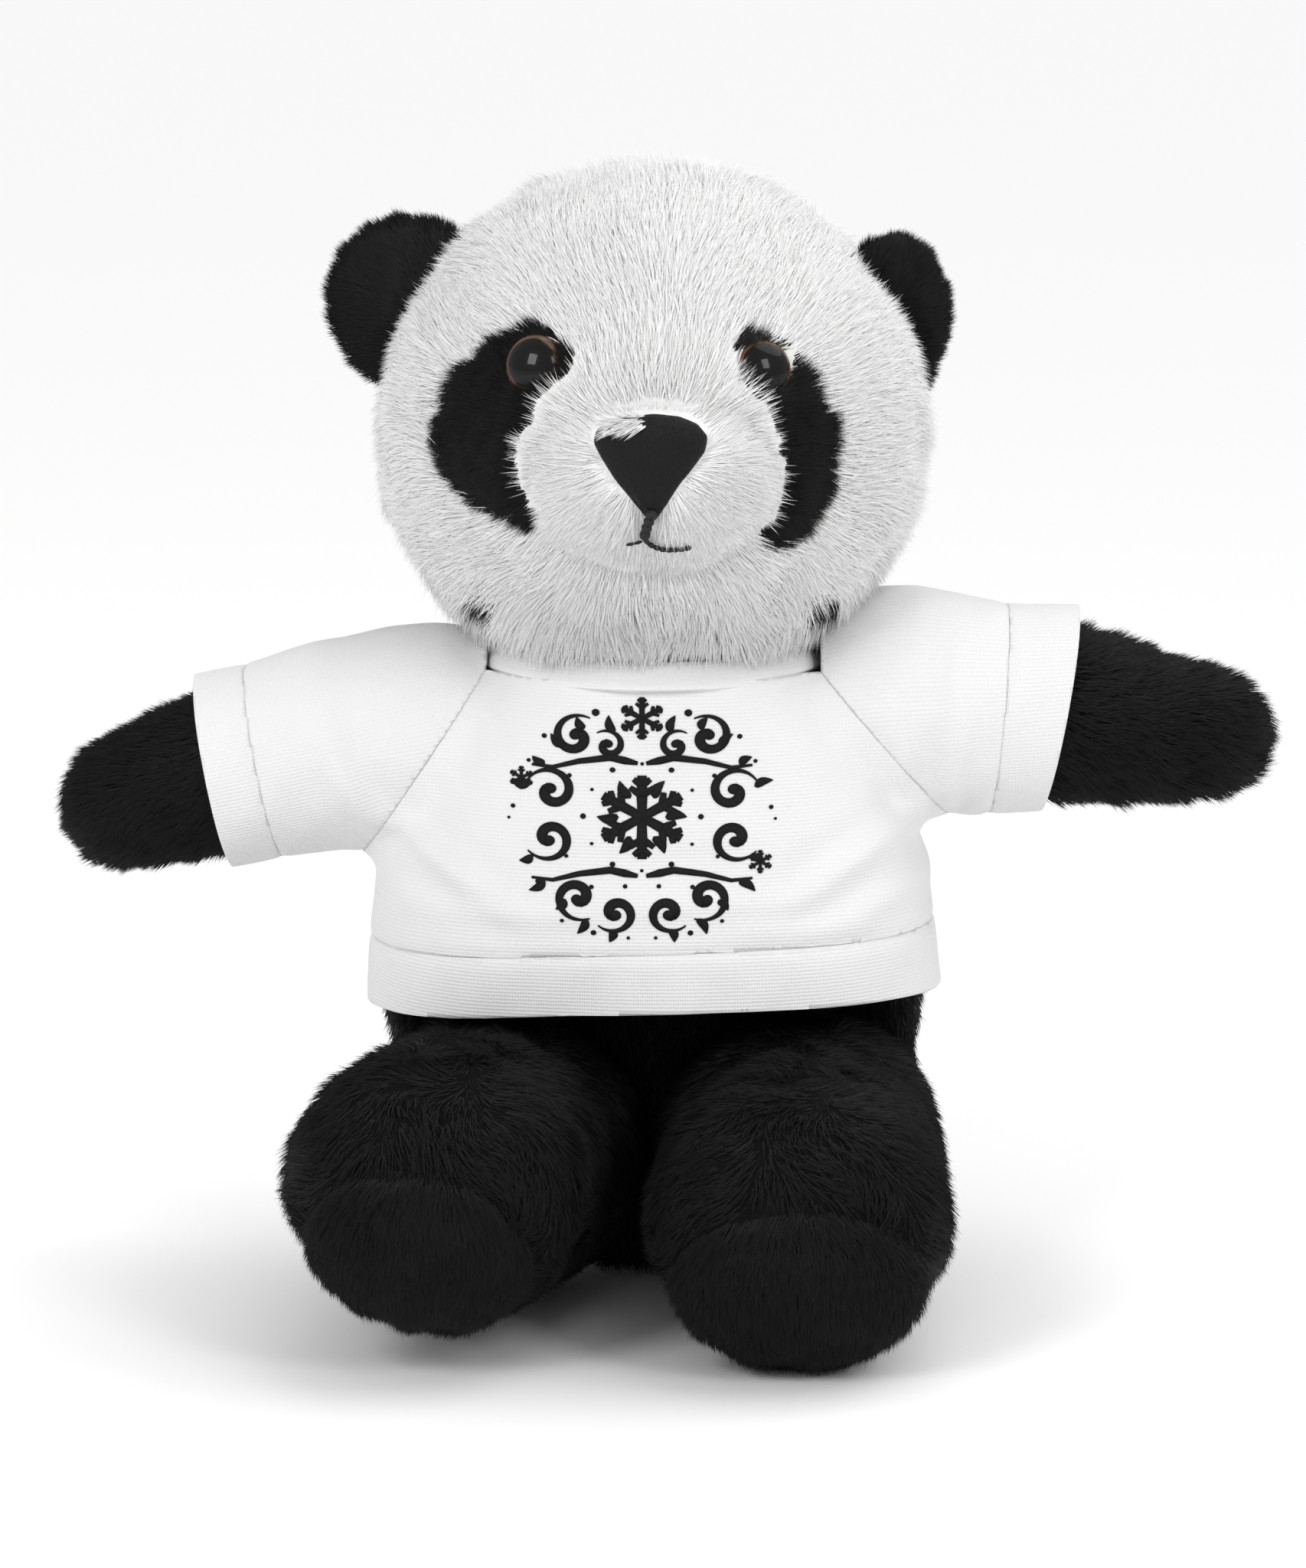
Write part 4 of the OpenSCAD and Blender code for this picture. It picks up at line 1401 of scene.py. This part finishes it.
def panel(form, name, cuts, thick):
    """Cuts a panel out of the form and makes it thick. Each cut clears what lies ahead of its plane."""
    piece = form.copy()
    piece.data = form.data.copy()
    piece.name = piece.data.name = name
    bpy.context.scene.collection.objects.link(piece)
    bm = bmesh.new()
    bm.from_mesh(piece.data)
    for point, direction in cuts:
        bmesh.ops.bisect_plane(bm, geom=bm.verts[:] + bm.edges[:] + bm.faces[:], dist=1e-8,
                               plane_co=Vector(point) * MM, plane_no=Vector(direction), clear_outer=True)
    bm.to_mesh(piece.data)
    bm.free()
    modify(piece, "SOLIDIFY", thickness=thick, offset=-1, use_rim=True)
    return piece


def knit_map(piece, place):
    """A map in millimetres of cloth, so that the knit follows the panel."""
    layer = own_map(piece, "knit")
    spots = place(shape_of(piece)[0])
    index = np.empty(len(piece.data.loops), dtype=np.int32)
    piece.data.loops.foreach_get("vertex_index", index)
    layer.data.foreach_set("uv", spots[index].astype(np.float32).ravel())


def body_map(turn):
    """A map around the body, whose joint lies at a turn from the back."""
    def place(points):
        around = np.arctan2(points[:, 0], 5 - points[:, 1]) - turn
        return np.stack([((around + math.pi) % (2 * math.pi) - math.pi) * 48, points[:, 2]], 1)
    return place


def sleeve_map(side):
    axis, up = arm_axes(side)

    def place(points):
        away = points - SHOULDER[side]
        return np.stack([away @ axis, np.arctan2(away @ up, -away[:, 1]) * 19.5], 1)
    return place


def cloth(piece, body, paint, slot, place, *nodes):
    """Finishes a panel of the shirt: smooths it, maps its knit, gives it its material, hangs it on what it rides
    on, if anything, and hides the frame's parts that it stands for.
    """
    smooth_all(piece)
    knit_map(piece, place)
    coat(piece, paint)
    if body:
        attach(piece, body)
    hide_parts(*nodes)
    return piece


class PANDA_OT_shirt(bpy.types.Operator):
    """Builds the T-shirt: front, back, raglan sleeves, cuffs, hem and neckband"""

    bl_idname = "panda.shirt"
    bl_label = "Shirt"

    def execute(self, context):
        form = shirt_form()
        thick = sizes().cloth
        plain, rib = jersey("white jersey", 0.9), jersey("white jersey bands", 0.9)
        gap = 0.03
        hem_up = np.array([-HEM_TILT, 0, 1])
        seams = {side: raglan(side) for side in SIDE_NAMES}
        inside = [(seams[side][0] - seams[side][1] * gap, seams[side][1]) for side in SIDE_NAMES]
        collar = ((0, 0, COLLAR_Z), (0, 0, 1))
        over_hem = ((0, 0, HEM_SEAM + gap), -hem_up)
        ahead, behind = ((0, SHIRT_SPLIT_Y - gap, 0), (0, 1, 0)), ((0, SHIRT_SPLIT_Y + gap, 0), (0, -1, 0))
        front = panel(form, "front_panel", inside + [collar, over_hem, ahead], thick)
        cloth(front, "torso", plain, "jersey", body_map(0), "shirt_front")
        back = panel(form, "back_panel", inside + [collar, over_hem, behind], thick)
        cloth(back, "torso", plain, "jersey", body_map(math.pi), "shirt_back")
        hem_cuts = [((0, 0, HEM_SEAM - gap), hem_up), ((0, 0, HEM_EDGE), -hem_up)]
        hem = panel(form, "hem", hem_cuts, 1.5 * thick)
        for piece in (front, back, hem):
            droop(piece)
        cloth(hem, "torso", rib, "jersey_rib", body_map(math.pi / 2), "hem_band")
        for side in SIDE_NAMES:
            name = SIDE_NAMES[side]
            origin, outward = seams[side]
            fold, fold_way = cuff_fold(side)
            edge, edge_way = cuff_fold(side, CUFFS[side])
            cuts = [(origin + outward * gap, -outward), ((side * COLLAR_X, 0, 0), (-side, 0, 0)),
                    ((0, 0, 80), (0, 0, -1)), (fold - fold_way * gap, fold_way)]
            sleeve = panel(form, f"sleeve_{name}_panel", cuts, thick)
            cloth(sleeve, None, plain, "jersey", sleeve_map(side), "sleeve_" + name)
            start = origin + outward * 1.0
            tuple(start * MM)
            tuple((start + outward * 19) * MM)
            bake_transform(sleeve)
            cuff_cuts = [(fold + fold_way * gap, -fold_way), (edge, edge_way)]
            cuff = panel(form, f"cuff_{name}_fold", cuff_cuts, 1.6 * thick)
            cloth(cuff, "arm_" + name, rib, "jersey_rib", sleeve_map(side), "cuff_" + name)
        bpy.data.objects.remove(form)

        angle = np.linspace(0, 2 * math.pi, 120, endpoint=False)
        rows = []
        for z, r in COLLAR_ROWS:
            wobble = 0.15 * np.sin(angle * 7) + 0.1 * np.sin(angle * 13 + 1)
            rows.append(np.stack([(r + wobble) * np.cos(angle), -1 + (r + wobble - 0.5) * np.sin(angle),
                                  z + 1.6 * np.abs(np.cos(angle)) ** 2 + wobble], 1))
        count = len(angle)
        band = new_piece("neckband_rib", np.concatenate(rows), bands(len(rows), count))
        modify(band, "SOLIDIFY", thickness=1.6 * thick, offset=-1, use_rim=True)
        modify(band, "SUBSURF", levels=1, render_levels=1)
        cloth(band, "torso", rib, "jersey_rib", body_map(math.pi / 2), "neckband")
        return {"FINISHED"}


# Print

PRINT_X, PRINT_Z = -2.2, 102.6
PRINT_WIDE, PRINT_HIGH = 1.05, 0.95

# The wreath's leaves, by their turn in degrees and their distance from the middle, and its dots, on one side
LEAVES = [(18, 22.5), (32, 21.8), (46, 21.2), (60, 22), (-20, 22), (-34, 22.2), (-48, 21.6), (-62, 22.4),
          (-76, 22.6), (74, 19.2)]
DOTS = [(8.8, 22.6, 0.75), (18.6, 17.4, 0.5), (24.6, 2.6, 0.45), (25.4, 0.2, 0.3), (19.8, -12.6, 0.5),
        (15.2, -20.4, 0.4), (9.2, -22.8, 0.55), (2.6, -23.8, 0.35), (13.8, 9.4, 0.45), (14.4, -7.2, 0.4),
        (9.6, -13.4, 0.45), (3.2, -13.2, 0.45), (21.6, 12.2, 0.4)]


def strokes():
    """The ornament's shapes: a wreath of curls, leaves and dots around a snowflake, in millimetres."""
    shapes = []

    def line(path, start, end):
        path = resample(path, 0.5)
        step = np.gradient(path, axis=0)
        across = unit(np.stack([-step[:, 1], step[:, 0]], 1))
        wide = 1.8 * np.interp(np.linspace(0, 1, len(path)), [0, 0.12, 0.5, 1],
                                [start * 0.5, start, (start + end) / 2 * 1.15, end])
        shapes.append(("strip", path + across * wide[:, None] / 2, path - across * wide[:, None] / 2))

    def dot(x, y, r):
        angle = np.linspace(0, 2 * math.pi, 20, endpoint=False)
        rim = np.stack([x + r * np.cos(angle), y + r * np.sin(angle)], 1)
        shapes.append(("fan", np.array([[x, y]]), rim))

    def leaf(x, y, angle, length, wide):
        t = np.linspace(0, 1, 12)
        spine = np.stack([t * length, 0.12 * length * np.sin(t * math.pi)], 1)
        half = 0.7 * wide * np.sin(math.pi * t ** 0.7) ** 0.8 + 0.02
        turn = np.array([[math.cos(angle), -math.sin(angle)], [math.sin(angle), math.cos(angle)]])
        upper, lower = spine + np.stack([0 * t, half], 1), spine - np.stack([0 * t, half], 1)
        shapes.append(("strip", upper @ turn.T + [x, y], lower @ turn.T + [x, y]))

    def curl(x, y, angle, size, hand, start=0.35, end=1.25):
        t = np.linspace(0, 1, 60)
        reach = size * (1 - t) ** 1.1 + 0.12 * size
        bend = hand * t * 4.6 * math.pi / 2
        path = np.stack([x + reach * np.cos(angle + bend), y + reach * np.sin(angle + bend)], 1)
        line(path, start, end)
        dot(*path[-1], end * 0.85)

    def flake(x, y, r, wide):
        for k in range(6):
            a = math.radians(30 + 60 * k)
            tip = np.array([x + r * math.cos(a), y + r * math.sin(a)])
            line([(x, y), tuple(tip)], wide, wide)
            for at, reach in ((0.5, 0.34), (0.76, 0.24)):
                root = np.array([x, y]) + (tip - [x, y]) * at
                for turn in (a + 0.9, a - 0.9):
                    end = root + r * reach * np.array([math.cos(turn), math.sin(turn)])
                    line([tuple(root), tuple(end)], wide * 0.8, wide * 0.6)
        dot(x, y, wide * 1.1)

    flake(0, 21.5, 4.4, 0.55)
    flake(-23, 8.5, 2.4, 0.32)
    flake(22.5, -8.5, 2.4, 0.32)
    flake(0, 1.0, 8.6, 1.0)
    for k in range(6):
        a = math.radians(60 * k)
        leaf(4.4 * math.cos(a), 1 + 4.4 * math.sin(a), a, 4.2, 1.5)
        dot(11.2 * math.cos(a), 1 + 11.2 * math.sin(a), 0.55)
        dot(11.0 * math.cos(a + 0.52), 1 + 11.0 * math.sin(a + 0.52), 0.35)
    for mirror in (1, -1):
        for y in (12.6, -10.6):
            line([(mirror * 0.8, y - 0.5), (mirror * 6, y + 0.7), (mirror * 12, y - 0.2), (mirror * 17, y - 1.6),
                  (mirror * 21, y - 1.2)], 0.9, 0.3)
        curl(mirror * 17.2, 6.0, math.pi / 2 - mirror * 1.2, 4.6, mirror)
        curl(mirror * 17.6, -3.6, -math.pi / 2 + mirror * 1.0, 4.4, -mirror)
        curl(mirror * 12.6, 17.4, math.pi / 2 + mirror * 0.6, 4.3, -mirror)
        curl(mirror * 6.4, 15.8, math.pi / 2 - mirror * 0.7, 3.0, mirror, 0.3, 0.95)
        curl(mirror * 12.2, -15.6, -math.pi / 2 - mirror * 0.5, 4.3, mirror)
        curl(mirror * 5.0, -18.6, -math.pi / 2 + mirror * 0.9, 3.8, -mirror)
        for a, r in LEAVES:
            spot = math.radians(a)
            leaf(mirror * r * math.cos(spot), r * math.sin(spot), spot if mirror > 0 else math.pi - spot,
                 3.8 if a % 4 else 2.9, 1.25)
        for x, y, r in DOTS:
            dot(mirror * x, y, r)
    return shapes


class PANDA_OT_print(bpy.types.Operator):
    """Lays the printed ornament on the front of the shirt"""

    bl_idname = "panda.print"
    bl_label = "Print"

    def execute(self, context):
        front = bpy.data.objects["front_panel"]
        tree = BVHTree.FromObject(front, bpy.context.evaluated_depsgraph_get())
        points, faces = [], []

        def drop(flat):
            for x, y in flat:
                start = Vector((PRINT_X + PRINT_WIDE * x, -120, PRINT_Z + PRINT_HIGH * y)) * MM
                hit, normal, _, _ = tree.ray_cast(start, Vector((0, 1, 0)))
                if hit is None:
                    raise RuntimeError("The print reaches past the front of the shirt")
                points.append((np.array(hit) + np.array(normal) * 0.1 * MM) / MM)

        for kind, first, second in strokes():
            start = len(points)
            drop(first)
            drop(second)
            n, m = len(first), len(second)
            if kind == "strip":
                faces += [(start + i, start + i + 1, start + n + i + 1, start + n + i) for i in range(n - 1)]
            else:
                faces += [(start, start + 1 + i, start + 1 + (i + 1) % m) for i in range(m)]
        ornament = new_piece("print", points, faces)
        bm = bmesh.new()
        bm.from_mesh(ornament.data)
        for face in bm.faces:
            if face.normal.y > 0:
                face.normal_flip()
        bm.to_mesh(ornament.data)
        bm.free()
        modify(ornament, "SOLIDIFY", thickness=0.08 * MM, offset=1, use_rim=True)
        smooth_all(ornament)
        ornament.data.materials.append(ink())
        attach(ornament, "torso")
        return {"FINISHED"}


# Stage

def softbox(name, place, aim, size, power):
    light = bpy.data.lights.new(name, "AREA")
    light.shape = "RECTANGLE"
    light.size, light.size_y = size
    light.energy = power
    lamp = bpy.data.objects.new(name, light)
    lamp.location = place
    lamp.rotation_euler = (Vector(aim) - Vector(place)).to_track_quat("-Z", "Y").to_euler()
    bpy.context.scene.collection.objects.link(lamp)


ROOM_LIGHT = 0.64
WINDOWS = {
    "window": ((-0.62, -0.85, 0.75), (0.4, 0.5), 4.6),
    "second_window": ((0.6, -0.8, 0.7), (0.3, 0.4), 2.6),
}
LENS = 113
AIM = (0, -0.020, 0.107)


class PANDA_OT_stage(bpy.types.Operator):
    """Sets the pale floor, the soft lights and the camera"""

    bl_idname = "panda.stage"
    bl_label = "Stage"

    def execute(self, context):
        bpy.ops.object.select_all(action="DESELECT")
        bpy.ops.mesh.primitive_plane_add(size=80)
        floor = bpy.context.active_object
        floor.name = "floor"
        paint = Paint("pale floor", Base_Color=(0.98, 0.98, 0.98, 1), Roughness=0.9, Specular_IOR_Level=0.1)
        floor.data.materials.append(paint.material)
        context.scene.view_settings.view_transform = "Standard"
        world = bpy.data.worlds.new("pale room")
        context.scene.world = world
        world.use_nodes = True
        room = world.node_tree.nodes["Background"].inputs
        room["Color"].default_value = (1, 1, 1, 1)
        room["Strength"].default_value = ROOM_LIGHT
        for name, (place, size, power) in WINDOWS.items():
            softbox(name, place, (0, 0, 0.12), size, power)
        sun = bpy.data.lights.new("skylight", "SUN")
        sun.energy = 1.2
        sun.angle = math.radians(60)
        lamp = bpy.data.objects.new("skylight", sun)
        lamp.rotation_euler = Vector((-0.45, -0.2, -0.86)).to_track_quat("-Z", "Y").to_euler()
        context.scene.collection.objects.link(lamp)
        camera = bpy.data.cameras.new("camera")
        camera.lens = LENS
        holder = bpy.data.objects.new("camera", camera)
        away = Vector((0, -math.cos(FACE_LEAN), math.sin(FACE_LEAN)))
        holder.location = Vector(AIM) + away
        holder.rotation_euler = (-away).to_track_quat("-Z", "Y").to_euler()
        context.scene.collection.objects.link(holder)
        context.scene.camera = holder
        return {"FINISHED"}


STEPS = [PANDA_OT_stage, PANDA_OT_head, PANDA_OT_patches, PANDA_OT_ears, PANDA_OT_eyes, PANDA_OT_nose,
         PANDA_OT_body, PANDA_OT_arms, PANDA_OT_legs, PANDA_OT_shirt, PANDA_OT_print]


class PANDA_PT_panel(bpy.types.Panel):
    """Lists the steps that build the panda"""

    bl_idname = "PANDA_PT_panel"
    bl_label = "Plush panda"
    bl_space_type = "VIEW_3D"
    bl_region_type = "UI"
    bl_category = "Panda"

    def draw(self, context):
        for owner in (context.scene.panda_sizes, context.scene.panda_colours):
            for key in owner.bl_rna.properties.keys():
                if key not in ("rna_type", "name"):
                    self.layout.prop(owner, key)
        for step in STEPS:
            self.layout.operator(step.bl_idname)


CLASSES = [PandaSizes, PandaColours, *STEPS, PANDA_PT_panel]


def register():
    for kind in CLASSES:
        bpy.utils.register_class(kind)
    bpy.types.Scene.panda_sizes = bpy.props.PointerProperty(type=PandaSizes)
    bpy.types.Scene.panda_colours = bpy.props.PointerProperty(type=PandaColours)


def unregister():
    del bpy.types.Scene.panda_colours
    del bpy.types.Scene.panda_sizes
    for kind in reversed(CLASSES):
        bpy.utils.unregister_class(kind)


def main():
    register()
    for step in STEPS:
        getattr(bpy.ops.panda, step.bl_idname.split(".")[1])()


if __name__ == "__main__":
    main()
